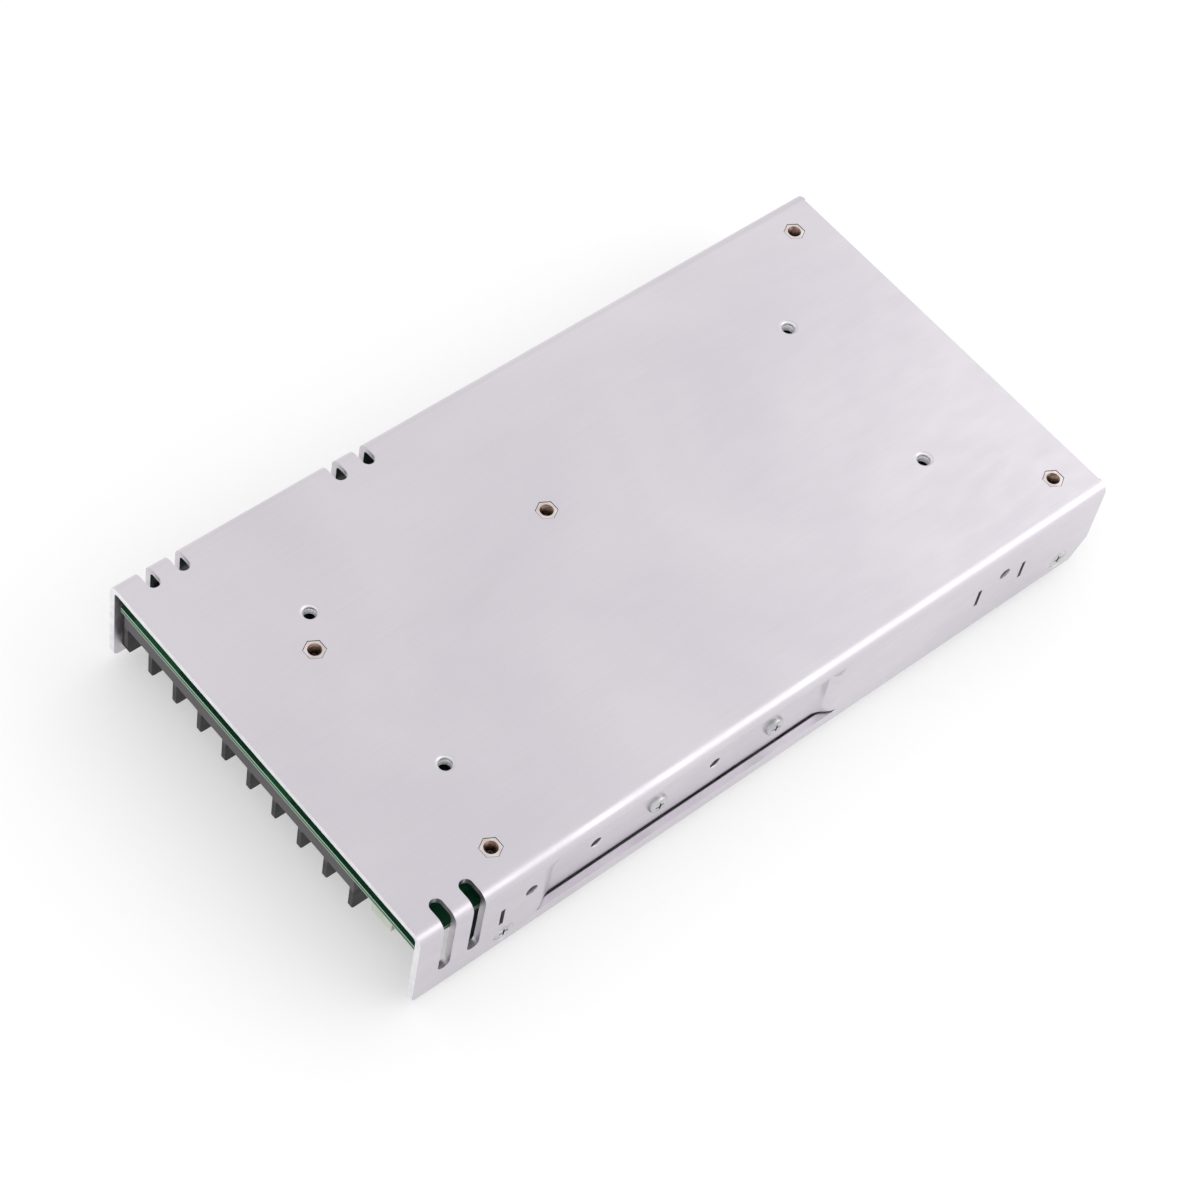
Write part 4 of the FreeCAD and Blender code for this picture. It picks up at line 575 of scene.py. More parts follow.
@dataclass(frozen=True)
class Moulding(Finish):
    """Moulded or coated plastic with a faint uneven gloss."""

    name: str
    dark: Colour
    light: Colour
    rough: float = 0.5
    scale: float = 260
    relief: float = 0.02
    coat: float = 0.0
    glow: float = 0.0
    # Below a given height the plastic takes the near-black colour clean as painted shade, and fades to its
    # own colour a little higher.
    shade_below: tuple[float, float] | None = None
    clean: Colour = (0.012, 0.011, 0.013)

    def paint(self, tree: Tree) -> None:
        """Vary colour, gloss and skin of a plastic, with painted shade below a height if it has any."""
        cloud = tree.noise(self.scale, 4)
        skin = tree.noise(self.scale * 12, 2)
        colour = tree.ramp(cloud, [(0.35, self.dark), (0.65, self.light)])
        # Painted shade: near-black below the lower height, the plastic's own colour above the upper one.
        if self.shade_below:
            low, high = self.shade_below
            colour = tree.blend(tree.remap(tree.axis("Z"), (low * MM, high * MM), (0, 1)), self.clean, colour)
        tree.feed("Base Color", colour)
        tree.feed("Roughness", tree.remap(cloud, (0.3, 0.7), (self.rough - 0.06, self.rough + 0.08)))
        tree.relief(skin, 0.25, self.relief)
        tree.set(Coat_Weight=self.coat, Subsurface_Weight=self.glow, Subsurface_Scale=MM)


@dataclass(frozen=True)
class SolderMask(Finish):
    """Green solder mask with copper areas and tracks faintly raised under it."""

    name: str
    bare: Colour = (0.006, 0.062, 0.028)
    copper: Colour = (0.016, 0.125, 0.052)

    def paint(self, tree: Tree) -> None:
        """Draw filled copper areas as a soft-edged cell pattern under a glossy coat."""
        cells = tree.add("ShaderNodeTexVoronoi", distance="CHEBYCHEV", feature="F1")
        cells.inputs["Scale"].default_value = 95
        cells.inputs["Randomness"].default_value = 0.7
        tree.join(tree.stretch((1, 1, 0)), cells.inputs["Vector"])
        edge = tree.remap(cells.outputs["Distance"], (0.40, 0.46), (1, 0))
        tree.feed("Base Color", tree.blend(edge, self.bare, self.copper))
        tree.feed("Roughness", tree.remap(tree.noise(700, 3), (0.3, 0.7), (0.26, 0.4)))
        tree.relief(edge, 0.5, 0.06)
        tree.set(Coat_Weight=0.4, Coat_Roughness=0.15)


@dataclass(frozen=True)
class CutLaminate(Finish):
    """The sawn edge of a glass-fibre board, in layers between two paler brims."""

    name: str
    low: float
    high: float
    dark: Colour = (0.012, 0.075, 0.035)
    light: Colour = (0.06, 0.19, 0.09)
    pale: Colour = (0.50, 0.64, 0.52)

    def paint(self, tree: Tree) -> None:
        """Show the layers of glass cloth as fine lines along the edge."""
        layers = tree.noise(1, 3, tree.stretch((300, 300, 5200)))
        cloth = tree.ramp(layers, [(0.3, self.dark), (0.6, self.light)])
        under = tree.remap(tree.axis("Z"), ((self.low + 0.3) * MM, (self.low + 0.5) * MM), (1, 0))
        over = tree.remap(tree.axis("Z"), ((self.high - 0.45) * MM, (self.high - 0.3) * MM), (0, 1))
        brim = tree.maths("MAXIMUM", under, over)
        tree.feed("Base Color", tree.blend(brim, cloth, self.pale))
        tree.feed("Roughness", tree.remap(layers, (0.3, 0.7), (0.55, 0.8)))
        tree.relief(layers, 0.4, 0.05)


@dataclass(frozen=True)
class Film(Finish):
    """Translucent insulating film with soft waves."""

    name: str
    dark: Colour = (0.72, 0.72, 0.70)
    light: Colour = (0.84, 0.84, 0.82)

    def paint(self, tree: Tree) -> None:
        """Vary the tone and gloss of a milky film."""
        wave = tree.noise(45, 3)
        tree.feed("Base Color", tree.ramp(wave, [(0.3, self.dark), (0.7, self.light)]))
        tree.feed("Roughness", tree.remap(wave, (0.3, 0.7), (0.3, 0.45)))
        tree.relief(wave, 0.3, 0.4)
        tree.set(Transmission_Weight=0.25)


@dataclass(frozen=True)
class WoundWire(Finish):
    """Enamelled copper wire, turn beside turn round a ring."""

    name: str
    middle: tuple[float, float]
    turns: int = 46
    dark: Colour = (0.16, 0.045, 0.014)
    light: Colour = (0.62, 0.24, 0.09)

    def paint(self, tree: Tree) -> None:
        """Mark the turns by the angle round the ring's middle, with painted shade between the turns and a
        painted highlight on their crowns.
        """
        shift = tree.add("ShaderNodeVectorMath", operation="SUBTRACT")
        shift.inputs[1].default_value = (self.middle[0] * MM, self.middle[1] * MM, 0)
        tree.join(tree.place, shift.inputs[0])
        parts = tree.add("ShaderNodeSeparateXYZ")
        tree.join(shift.outputs["Vector"], parts.inputs["Vector"])
        angle = tree.add("ShaderNodeMath", operation="ARCTAN2")
        tree.join(parts.outputs["Y"], angle.inputs[0])
        tree.join(parts.outputs["X"], angle.inputs[1])
        wave = tree.maths("SINE", tree.maths("MULTIPLY", angle.outputs["Value"], self.turns / 2), 0)
        ridge = tree.maths("ABSOLUTE", wave, 0)
        # Painted shade in the grooves between turns and a painted highlight on their crowns.
        tree.feed("Base Color", tree.ramp(ridge, [(0.15, self.dark), (0.75, self.light)]))
        tree.feed("Roughness", tree.remap(tree.noise(500, 2), (0.3, 0.7), (0.22, 0.36)))
        tree.relief(ridge, 0.8, 0.5)
        tree.set(Metallic=0.85, Coat_Weight=0.5)


@dataclass(frozen=True)
class BandedCoat(Finish):
    """A coat with bands across X, for a fuse's caps or a resistor's rings."""

    name: str
    stops: tuple[tuple[float, Colour], ...]
    span: tuple[float, float]
    rough: float = 0.35
    metal: float = 0.0
    clear: float = 0.0

    def paint(self, tree: Tree) -> None:
        """Colour the piece by how far along X a point lies."""
        low, high = self.span
        along = tree.remap(tree.axis("X"), (low * MM, high * MM), (0, 1))
        node = tree.ramp(along, list(self.stops))
        node.node.color_ramp.interpolation = "CONSTANT"
        tree.feed("Base Color", node)
        tree.feed("Roughness", tree.remap(tree.noise(600, 2), (0.3, 0.7),
                                          (self.rough - 0.06, self.rough + 0.08)))
        tree.set(Metallic=self.metal, Transmission_Weight=self.clear)


@dataclass(frozen=True)
class CanSleeve(Finish):
    """A capacitor's printed sleeve with its bare can end, told apart by height."""

    name: str
    end_z: float
    sleeve: Colour = (0.012, 0.014, 0.035)
    metal: Colour = (0.70, 0.70, 0.72)

    def paint(self, tree: Tree) -> None:
        """Blend from the bare end to the sleeve at one height."""
        share = tree.remap(tree.axis("Z"), ((self.end_z - 0.02) * MM, (self.end_z + 0.02) * MM), (0, 1))
        cloud = tree.noise(240, 4)
        coat = tree.ramp(cloud, [(0.35, self.sleeve), (0.65, tuple(c * 1.5 for c in self.sleeve))])
        tree.feed("Base Color", tree.blend(share, self.metal, coat))
        tree.feed("Roughness", tree.remap(share, (0, 1), (0.32, 0.42)))
        tree.feed("Metallic", tree.remap(share, (0, 1), (1, 0)))
        tree.relief(cloud, 0.2, 0.04)


# Sizes


@dataclass(frozen=True)
class CaseSizes:
    """Main sizes of the case, as in the CAD model."""

    end: float = 107.5
    side: float = 57.5
    top: float = 30.0
    sheet: float = 1.8
    bend: float = 3.0
    wall_low: float = 2.4
    base_end: float = 107.1
    corner_len: float = 4.5
    corner_rise: float = 6.5
    mount_x: float = 75.0
    mount_y: float = 25.0
    bore: float = 1.65
    side_hole_z: float = 19.0
    cover_screw_z: float = 6.7
    cover_screw_x: tuple[float, float] = (-81.5, 97.8)
    vents_front: tuple[float, float] = (-99.2, -90.9)
    vents_back: tuple[float, ...] = (-99.2, -90.9, -45.3, -37.0)
    small_slots: tuple[float, ...] = (-83.1, 81.9, 66.8)
    clamp_x: tuple[float, float] = (-35.3, 1.0)
    spare_x: tuple[float, float] = (-53.5, -17.2)
    clamp_z: float = 15.2
    standoffs: tuple[tuple[float, float], ...] = (
        (-80.4, -47.9), (-80.4, 16.1), (-11.5, 16.1), (97.6, -47.9), (97.6, 47.9))
    board_top: float = 22.8
    board_low: float = 21.2

    @property
    def base_in(self) -> float:
        """Inner face of the base plate."""
        return self.top - self.sheet

    @property
    def mounts(self) -> list[tuple[float, float]]:
        """Middles of the four mounting holes in the base plate."""
        return [(x * self.mount_x, y * self.mount_y) for x in (-1, 1) for y in (-1, 1)]

    @property
    def recess_holes(self) -> tuple[float, ...]:
        """Every hole along the recess's floor."""
        return (*self.clamp_x, *self.spare_x)


@dataclass(frozen=True)
class RecessSizes:
    """The recess drawn into the long wall that faces the camera."""

    first: float = -71.0
    last: float = 20.0
    ramp: float = 3.5
    depth: float = 2.3
    high: float = 25.0
    slope: float = 3.0
    free_edge: float = 6.8
    strip_top: float = 6.2
    soft: float = 1.3

    @property
    def floor(self) -> tuple[float, float]:
        """Where the recess's flat floor starts and ends along the wall."""
        return self.first + self.ramp, self.last - self.ramp


@dataclass(frozen=True)
class BlockSizes:
    """The terminal block, whose places also set the clamps and their screws."""

    front: float = -106.0
    rear: float = -88.5
    first: float = 53.8
    last: float = -33.1
    top: float = 21.2
    ledge: float = 15.8
    back: float = 3.2
    places: int = 9
    pitch: float = 9.5
    wall: float = 1.4
    screw_x: float = -100.4
    clamp_low: float = 14.0

    @property
    def spots(self) -> list[float]:
        """Middle of each place across the case."""
        return [self.first - self.wall / 2 - self.pitch * (place + 0.5) for place in range(self.places)]


CASE = CaseSizes()
RECESS = RecessSizes()
BLOCK = BlockSizes()


class Finishes:
    """Every finish of the supply, with the two tones that it varies between."""

    case = RolledSheet("case_aluminium", (0.640, 0.609, 0.656), (0.706, 0.676, 0.720), rough=0.38)
    # Brighter metal on the sheared front edge and in the mounting bores: bare sheared metal with a painted
    # highlight on the edge, painted light on the bore walls.
    worked_and_lit = PlatedMetal("worked_and_lit_aluminium", (0.84, 0.83, 0.85), (0.94, 0.93, 0.95), rough=0.5)
    cover = RolledSheet("cover_aluminium", (0.560, 0.560, 0.585), (0.660, 0.660, 0.685), rough=0.36)
    sink = RolledSheet("sink_aluminium", (0.52, 0.52, 0.54), (0.64, 0.64, 0.66), rough=0.4,
                       grain=(30, 900, 900))
    bar = PlatedMetal("bar_steel", (0.40, 0.40, 0.41), (0.54, 0.54, 0.55), rough=0.35)
    screw = PlatedMetal("screw_steel", (0.46, 0.46, 0.47), (0.66, 0.66, 0.67))
    terminal = PlatedMetal("terminal_steel", (0.50, 0.49, 0.46), (0.70, 0.69, 0.66))
    tinned = PlatedMetal("tinned_brass", (0.52, 0.49, 0.42), (0.72, 0.69, 0.61), rough=0.34)
    standoff = PlatedMetal("standoff_brass", (0.62, 0.55, 0.54), (0.76, 0.69, 0.67), rough=0.3, scale=300)
    # Near-black finish in the screw heads' cross recesses: painted shade.
    recess = PlatedMetal("screw_recess_painted_shade", (0.015, 0.015, 0.016), (0.06, 0.06, 0.062), rough=0.5)
    # Dark brown finish in the standoffs' bores and on the hexagons' chamfered sides: painted shade.
    bore = PlatedMetal("standoff_bore_painted_shade", (0.13, 0.075, 0.055), (0.36, 0.25, 0.20), rough=0.3, scale=900)
    mask = SolderMask("board_laminate")
    edge = CutLaminate("board_edge", CASE.board_low, CASE.board_top)
    # Near-black finish of the rib at the block's end: painted shade in the gap by the wall.
    shaded = Moulding("block_rib_painted_shade", (0.010, 0.009, 0.010), (0.022, 0.020, 0.022), rough=0.7, relief=0.03)
    film = Film("insulation_film")
    # Painted shade: the block turns near-black below its ledge, where the dividers stand.
    block = Moulding("block_plastic", (0.060, 0.055, 0.060), (0.095, 0.088, 0.094), rough=0.5, relief=0.03,
                     shade_below=(14.6, 15.9))
    trimmer = Moulding("trimmer_plastic", (0.62, 0.66, 0.56), (0.72, 0.75, 0.66), rough=0.5)
    rotor = Moulding("rotor_plastic", (0.76, 0.76, 0.73), (0.86, 0.86, 0.83), rough=0.45)
    lamp = Moulding("lamp_epoxy", (0.05, 0.34, 0.09), (0.12, 0.50, 0.14), rough=0.14, relief=0.002, coat=0.6,
                    glow=0.3)
    selector = Moulding("selector_plastic", (0.010, 0.010, 0.012), (0.020, 0.020, 0.023), rough=0.34,
                        coat=0.2)
    slider = Moulding("slider_plastic", (0.46, 0.016, 0.012), (0.62, 0.035, 0.025), rough=0.44)
    device = Moulding("device_epoxy", (0.012, 0.012, 0.013), (0.024, 0.024, 0.026), rough=0.58, relief=0.05)
    silicone = Moulding("pad_silicone", (0.24, 0.29, 0.31), (0.33, 0.38, 0.40), rough=0.75, relief=0.08)
    ferrite = Moulding("ferrite", (0.014, 0.014, 0.016), (0.034, 0.034, 0.036), rough=0.6, scale=500,
                       relief=0.08)
    powder = Moulding("powder_core", (0.016, 0.10, 0.055), (0.03, 0.16, 0.09), rough=0.4, coat=0.3)
    line_wire = WoundWire("line_choke_wire", (-60, 28), turns=40)
    output_wire = WoundWire("output_choke_wire", (4.3, -16), turns=44)
    tape = Moulding("winding_tape", (0.68, 0.44, 0.03), (0.80, 0.58, 0.07), rough=0.3, scale=90, relief=0.1,
                    coat=0.4)
    bobbin = Moulding("bobbin_plastic", (0.014, 0.014, 0.016), (0.028, 0.028, 0.03), rough=0.5)
    fuse = BandedCoat("fuse_glass", ((0.0, (0.62, 0.60, 0.56)), (0.24, (0.80, 0.84, 0.84)),
                                     (0.76, (0.62, 0.60, 0.56))), (-86, -66), rough=0.2, clear=0.3)
    thermistor = Moulding("thermistor_coat", (0.010, 0.040, 0.024), (0.020, 0.070, 0.040), rough=0.5,
                          relief=0.1)
    varistor = Moulding("varistor_coat", (0.012, 0.05, 0.26), (0.025, 0.085, 0.36), rough=0.35, relief=0.1,
                        coat=0.3)
    film_cap = Moulding("film_capacitor", (0.66, 0.42, 0.02), (0.78, 0.54, 0.05), rough=0.36, coat=0.2)
    snubber = Moulding("snubber_coat", (0.26, 0.020, 0.010), (0.40, 0.045, 0.02), rough=0.3, coat=0.4)
    bulk_sleeve = CanSleeve("bulk_sleeve", 3.4)
    output_sleeve = CanSleeve("capacitor_sleeve", 3.2, sleeve=(0.006, 0.030, 0.018))
    small_sleeve = CanSleeve("small_sleeve", 10.6, sleeve=(0.010, 0.018, 0.06))
    resistor = BandedCoat("resistor_coat", (
        (0.0, (0.24, 0.36, 0.44)), (0.14, (0.35, 0.02, 0.01)), (0.22, (0.24, 0.36, 0.44)),
        (0.32, (0.03, 0.03, 0.03)), (0.40, (0.24, 0.36, 0.44)), (0.50, (0.10, 0.05, 0.02)),
        (0.58, (0.24, 0.36, 0.44)), (0.80, (0.55, 0.38, 0.08)), (0.88, (0.24, 0.36, 0.44))),
        (56, 71), rough=0.5)


# Sub-assemblies


class SubAssembly(ABC):
    """A group of new pieces that stand for CAD nodes."""

    body: str = "supply"

    @abstractmethod
    def build(self) -> None:
        """Model the pieces and hand them over."""

    def hand_over(self, piece: bpy.types.Object, nodes: Sequence[str], slot: str,
                  *finishes: Finish) -> bpy.types.Object:
        """Give a finished piece its materials and its place in the frame.

        Args:
            piece: The modelled piece, with the material index of its faces set.
            nodes: The CAD nodes that it stands for.
            slot: The record's material slot of the piece; not used.
            finishes: Its finishes, in the order of its material slots.

        Returns:
            The same piece.
        """
        kept = [face.material_index for face in piece.data.polygons]
        piece.data.materials.clear()
        for finish in finishes:
            piece.data.materials.append(finish.material())
        last = len(finishes) - 1
        piece.data.polygons.foreach_set("material_index", [min(index, last) for index in kept])
        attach(piece, self.body)
        if nodes:
            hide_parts(*nodes)
        log.info("%s: %d faces", piece.name, len(piece.data.polygons))
        return piece


def stadium(name: str, start: Point, way: Way, radius: float, length: float, run: Point) -> bpy.types.Object:
    """Make a rod and draw one half of it out sideways, as the tool for a long hole.

    Args:
        name: Name of the tool.
        start: Middle of the first end, before half of it moves.
        way: Where the rod points.
        radius: Half the hole's width.
        length: Length of the rod.
        run: How far the half that faces this run moves.

    Returns:
        The tool.
    """
    item = Bench.rod(name, start, way, radius, length, sides=32)
    along = Vector(run).normalized()
    with Editing(item) as edit:
        edit.points(lambda at: (at - Vector(start)).dot(along) > 1e-4)
        edit.move(run)
    return item


@dataclass
class Chassis(SubAssembly):
    """The folded aluminium sheet: base plate, both long walls, the drawn recess and every hole."""

    case: CaseSizes = CASE
    recess: RecessSizes = RECESS
    bend_steps: int = 12
    edge_round: float = 0.13
    collar: tuple[float, float] = (2.6, 3.1)
    collar_depth: float = 1.6
    collar_root: float = 0.9
    mount_flare: float = 0.85
    mount_pitch: float = 0.7
    mouth_steps: int = 7
    seat_across: float = 4.96
    sink: tuple[tuple[float, float], ...] = (
        (0, -4), (1.65, -4), (1.65, -1.25), (2.92, 0), (3.1, 0.4), (0, 0.4))
    vent_radius: float = 1.7
    vent_drop: float = 18.8
    vent_rise: float = 16.0
    vent_reach: float = 5.3
    vent_run: float = 8.0
    inside: float = 5.0
    outside: float = 2.0
    slot_width: float = 1.2
    slot_drop: tuple[float, float] = (17.9, 11.5)
    clamp_bore: float = 1.45
    clamp_flare: float = 0.35
    window_x: tuple[float, float] = (-67.55, -53.45)
    window_z: tuple[float, float] = (13.1, 19.7)
    end_round: float = 1.5
    past: float = 1.0

    def build(self) -> None:
        """Fold, draw, thicken and pierce the sheet."""
        sheet = self.folded_skin()
        self.draw_recess(sheet)
        Bench.modify(sheet, "SOLIDIFY", thickness=self.case.sheet * MM, offset=-1, use_even_offset=True,
                     use_quality_normals=True)
        self.add_collars(sheet)
        self.pierce_base(sheet)
        self.pierce_walls(sheet)
        Bench.soften(sheet, self.edge_round, 2, 42)
        self.brighten(sheet)
        Bench.shade(sheet)
        self.hand_over(sheet, ["chassis"], "case_aluminium", Finishes.case, Finishes.worked_and_lit)

    def brighten(self, sheet: bpy.types.Object) -> None:
        """Set the sheared front edge and the tapped mounting bores apart in a brighter metal: bare sheared
        metal with a painted highlight on the edge, painted light on the bore walls.
        """
        case = self.case

        def worked_and_lit(at: Vector, normal: Vector) -> bool:
            """Whether a face lies on the sheared edge or in a mounting hole."""
            sheared = normal.x < -0.5 and at.x < -case.end + 0.3
            off_axis = math.hypot(abs(at.x) - case.mount_x, abs(at.y) - case.mount_y)
            return sheared or (off_axis < case.bore + 0.7 and abs(normal.z) < 0.72)

        Bench.set_apart(sheet, worked_and_lit)

    def folded_skin(self) -> bpy.types.Object:
        """Make the outer face of the channel, with its bends."""
        case = self.case
        skin = Bench.block("chassis_sheet", (-case.end, -case.side, case.wall_low),
                           (case.end, case.side, case.top))
        with Editing(skin) as edit:
            edit.faces(lambda at, normal: normal.z < -0.5 or abs(normal.x) > 0.5)
            bpy.ops.mesh.delete(type="FACE")
            edit.edges(lambda a, b: close(a.z, case.top) and close(b.z, case.top) and abs(a.x - b.x) > 1)
            edit.bevel(case.bend, self.bend_steps)
        return skin

    def draw_recess(self, skin: bpy.types.Object) -> None:
        """Press the recess into the front wall and free its lower edge."""
        case, rec = self.case, self.recess
        inner_first, inner_last = rec.floor
        columns = (rec.first, inner_first, inner_last, rec.last)

        def on_wall(at: Vector, normal: Vector) -> bool:
            """Whether a face lies in the front wall."""
            return normal.y < -0.99 and close(at.y, -case.side)

        with Editing(skin) as edit:
            for x in columns:
                edit.faces(on_wall)
                edit.split((x, 0, 0), (1, 0, 0))
            for z in (rec.strip_top, rec.free_edge, rec.high - rec.slope, rec.high):
                edit.faces(lambda at, normal: on_wall(at, normal) and rec.first < at.x < rec.last)
                edit.split((0, 0, z), (0, 0, 1))
            edit.faces(lambda at, normal: on_wall(at, normal) and rec.first < at.x < rec.last
                       and rec.strip_top < at.z < rec.free_edge)
            bpy.ops.mesh.delete(type="FACE")
            edit.points(lambda at: close(at.y, -case.side) and within(at.x, inner_first, inner_last)
                        and within(at.z, rec.free_edge, rec.high - rec.slope))
            edit.move((0, rec.depth, 0))

            def rim(a: Vector, b: Vector) -> bool:
                """Whether an edge bounds the recess's floor or its rim."""
                middle = (a + b) / 2
                above_slit = within(middle.z, rec.free_edge + 0.1, rec.high)
                if not (within(middle.x, rec.first, rec.last) and above_slit and close(a.y, b.y)):
                    return False
                upright = close(a.x, b.x) and any(close(a.x, x) for x in columns)
                level = close(a.z, b.z) and (close(a.z, rec.high) or close(a.z, rec.high - rec.slope))
                return upright or level

            edit.edges(rim)
            edit.bevel(rec.soft, 4)

    def add_collars(self, sheet: bpy.types.Object) -> None:
        """Add the extruded collars of the mounting holes inside the base plate."""
        tip, foot = self.collar
        low = self.case.base_in - self.collar_depth
        height = self.collar_depth + self.collar_root
        collars = [Bench.rod("collar", (x, y, low), Way.UP, tip, height, end_radius=foot)
                   for x, y in self.case.mounts]
        Bench.solve(sheet, collars, Solve.JOIN)

    def mouth(self, at: Point, way: Way, depth: float, bore: float, flare: float,
              pitch: float = 0.0) -> bpy.types.Object:
        """Make the tool for a hole with a rolled mouth.

        Args:
            at: Where the axis meets the outer face.
            way: Where the tool points, out of the sheet.
            depth: How far it reaches in.
            bore: Radius of the hole.
            flare: Radius of the rolled mouth.
            pitch: Pitch of the thread in the bore, if it shows one.

        Returns:
            The tool.
        """
        angles = [math.radians(90 * step / self.mouth_steps) for step in range(self.mouth_steps + 1)]
        curve = [(bore + flare * (1 - math.cos(angle)), -flare + flare * math.sin(angle)) for angle in angles]
        last = curve[-1][0]
        turns = int((depth - flare - 0.2) / pitch) if pitch else 0
        thread: list[tuple[float, float]] = []
        for turn in range(turns):
            low = -depth + pitch * turn
            crest = (bore + 0.4 * pitch, low + 0.55 * pitch)
            thread += [(bore, low + 0.12 * pitch), crest, (bore, low + pitch)]
        profile = [(0, -depth), (bore, -depth), *thread, *curve, (last, 0.6), (0, 0.6)]
        return Bench.lathe("mouth", profile, at, way, 48)

    def pierce_base(self, sheet: bpy.types.Object) -> None:
        """Cut the base plate's end, its mounting holes and the seats of the standoffs."""
        case = self.case
        below, above = case.base_in - self.past, case.top + self.past
        tools = [Bench.block("end", (case.base_end, -case.side + case.bend, below),
                             (case.end + self.past, case.side - case.bend, above))]
        tools += [self.mouth((x, y, case.top), Way.UP, 6, case.bore, self.mount_flare, self.mount_pitch)
                  for x, y in case.mounts]
        tools += [Bench.rod("seat", (x, y, below), Way.UP, self.seat_across / math.sqrt(3), 4, sides=6)
                  for x, y in case.standoffs]
        Bench.solve(sheet, tools, Solve.CUT)

    def pierce_walls(self, sheet: bpy.types.Object) -> None:
        """Cut the vents, the holes, the slots, the window and the corners of the long walls."""
        case = self.case
        half_slot = self.slot_width / 2
        slot_low, slot_high = (case.top - drop for drop in self.slot_drop)
        for side in (-1, 1):
            outward = Way.FRONT if side < 0 else Way.BACK
            face = side * case.side
            vents = case.vents_front if side < 0 else case.vents_back
            plates = [stadium("vent", (x, side * (case.side - self.vent_reach), case.top - self.inside),
                              Way.UP, self.vent_radius, 6, (0, side * self.vent_run, 0)) for x in vents]
            Bench.solve(sheet, plates, Solve.CUT)
            walls = [stadium("vent", (x, face - side * 2.6, case.top - self.vent_drop), outward,
                             self.vent_radius, 4, (0, 0, self.vent_rise)) for x in vents]
            walls += [Bench.rod("side_hole", (x, face - side * 4, case.side_hole_z), outward, case.bore, 6)
                      for x in (-case.mount_x, case.mount_x)]
            walls += [Bench.lathe("sink", self.sink, (x, face, case.cover_screw_z), outward, 40)
                      for x in case.cover_screw_x]
            walls += [self.corner(side), self.front_corner(side)]
            low_y, high_y = sorted((face - side * self.inside, face + side * self.outside))
            walls += [Bench.block("slot", (x - half_slot, low_y, slot_low),
                                  (x + half_slot, high_y, slot_high)) for x in case.small_slots]
            if side < 0:
                floor = -(case.side - self.recess.depth)
                walls += [self.mouth((x, floor, case.clamp_z), Way.FRONT, 4, self.clamp_bore,
                                     self.clamp_flare) for x in case.recess_holes]
            else:
                walls.append(Bench.block("window", (self.window_x[0], low_y, self.window_z[0]),
                                         (self.window_x[1], high_y, self.window_z[1])))
            Bench.solve(sheet, walls, Solve.CUT)

    def corner(self, side: int) -> bpy.types.Object:
        """Make the tool that slants a wall's far lower corner."""
        case = self.case
        run, rise = case.corner_len, case.corner_rise
        item = Bench.block("corner", (case.end - 2 * run, side * case.side - 3, case.wall_low - 3 * rise),
                           (case.end + run, side * case.side + 3, case.wall_low - rise))
        with Editing(item) as edit:
            edit.points(lambda at: at.x > case.end and at.z > case.wall_low - 2 * rise)
            edit.move((0, 0, 3 * rise))
        return item

    def front_corner(self, side: int) -> bpy.types.Object:
        """Make the tool that rounds a wall's lower corner at the terminal end."""
        case = self.case
        radius, face = self.end_round, side * case.side
        x, z = -case.end + radius, case.wall_low + radius
        item = Bench.block("round", (-case.end - self.past, face - 3, case.wall_low - self.past),
                           (x, face + 3, z))
        hole = Bench.rod("hole", (x, face - 4, z), Way.BACK, radius, 8)
        Bench.solve(item, [hole], Solve.CUT)
        return item


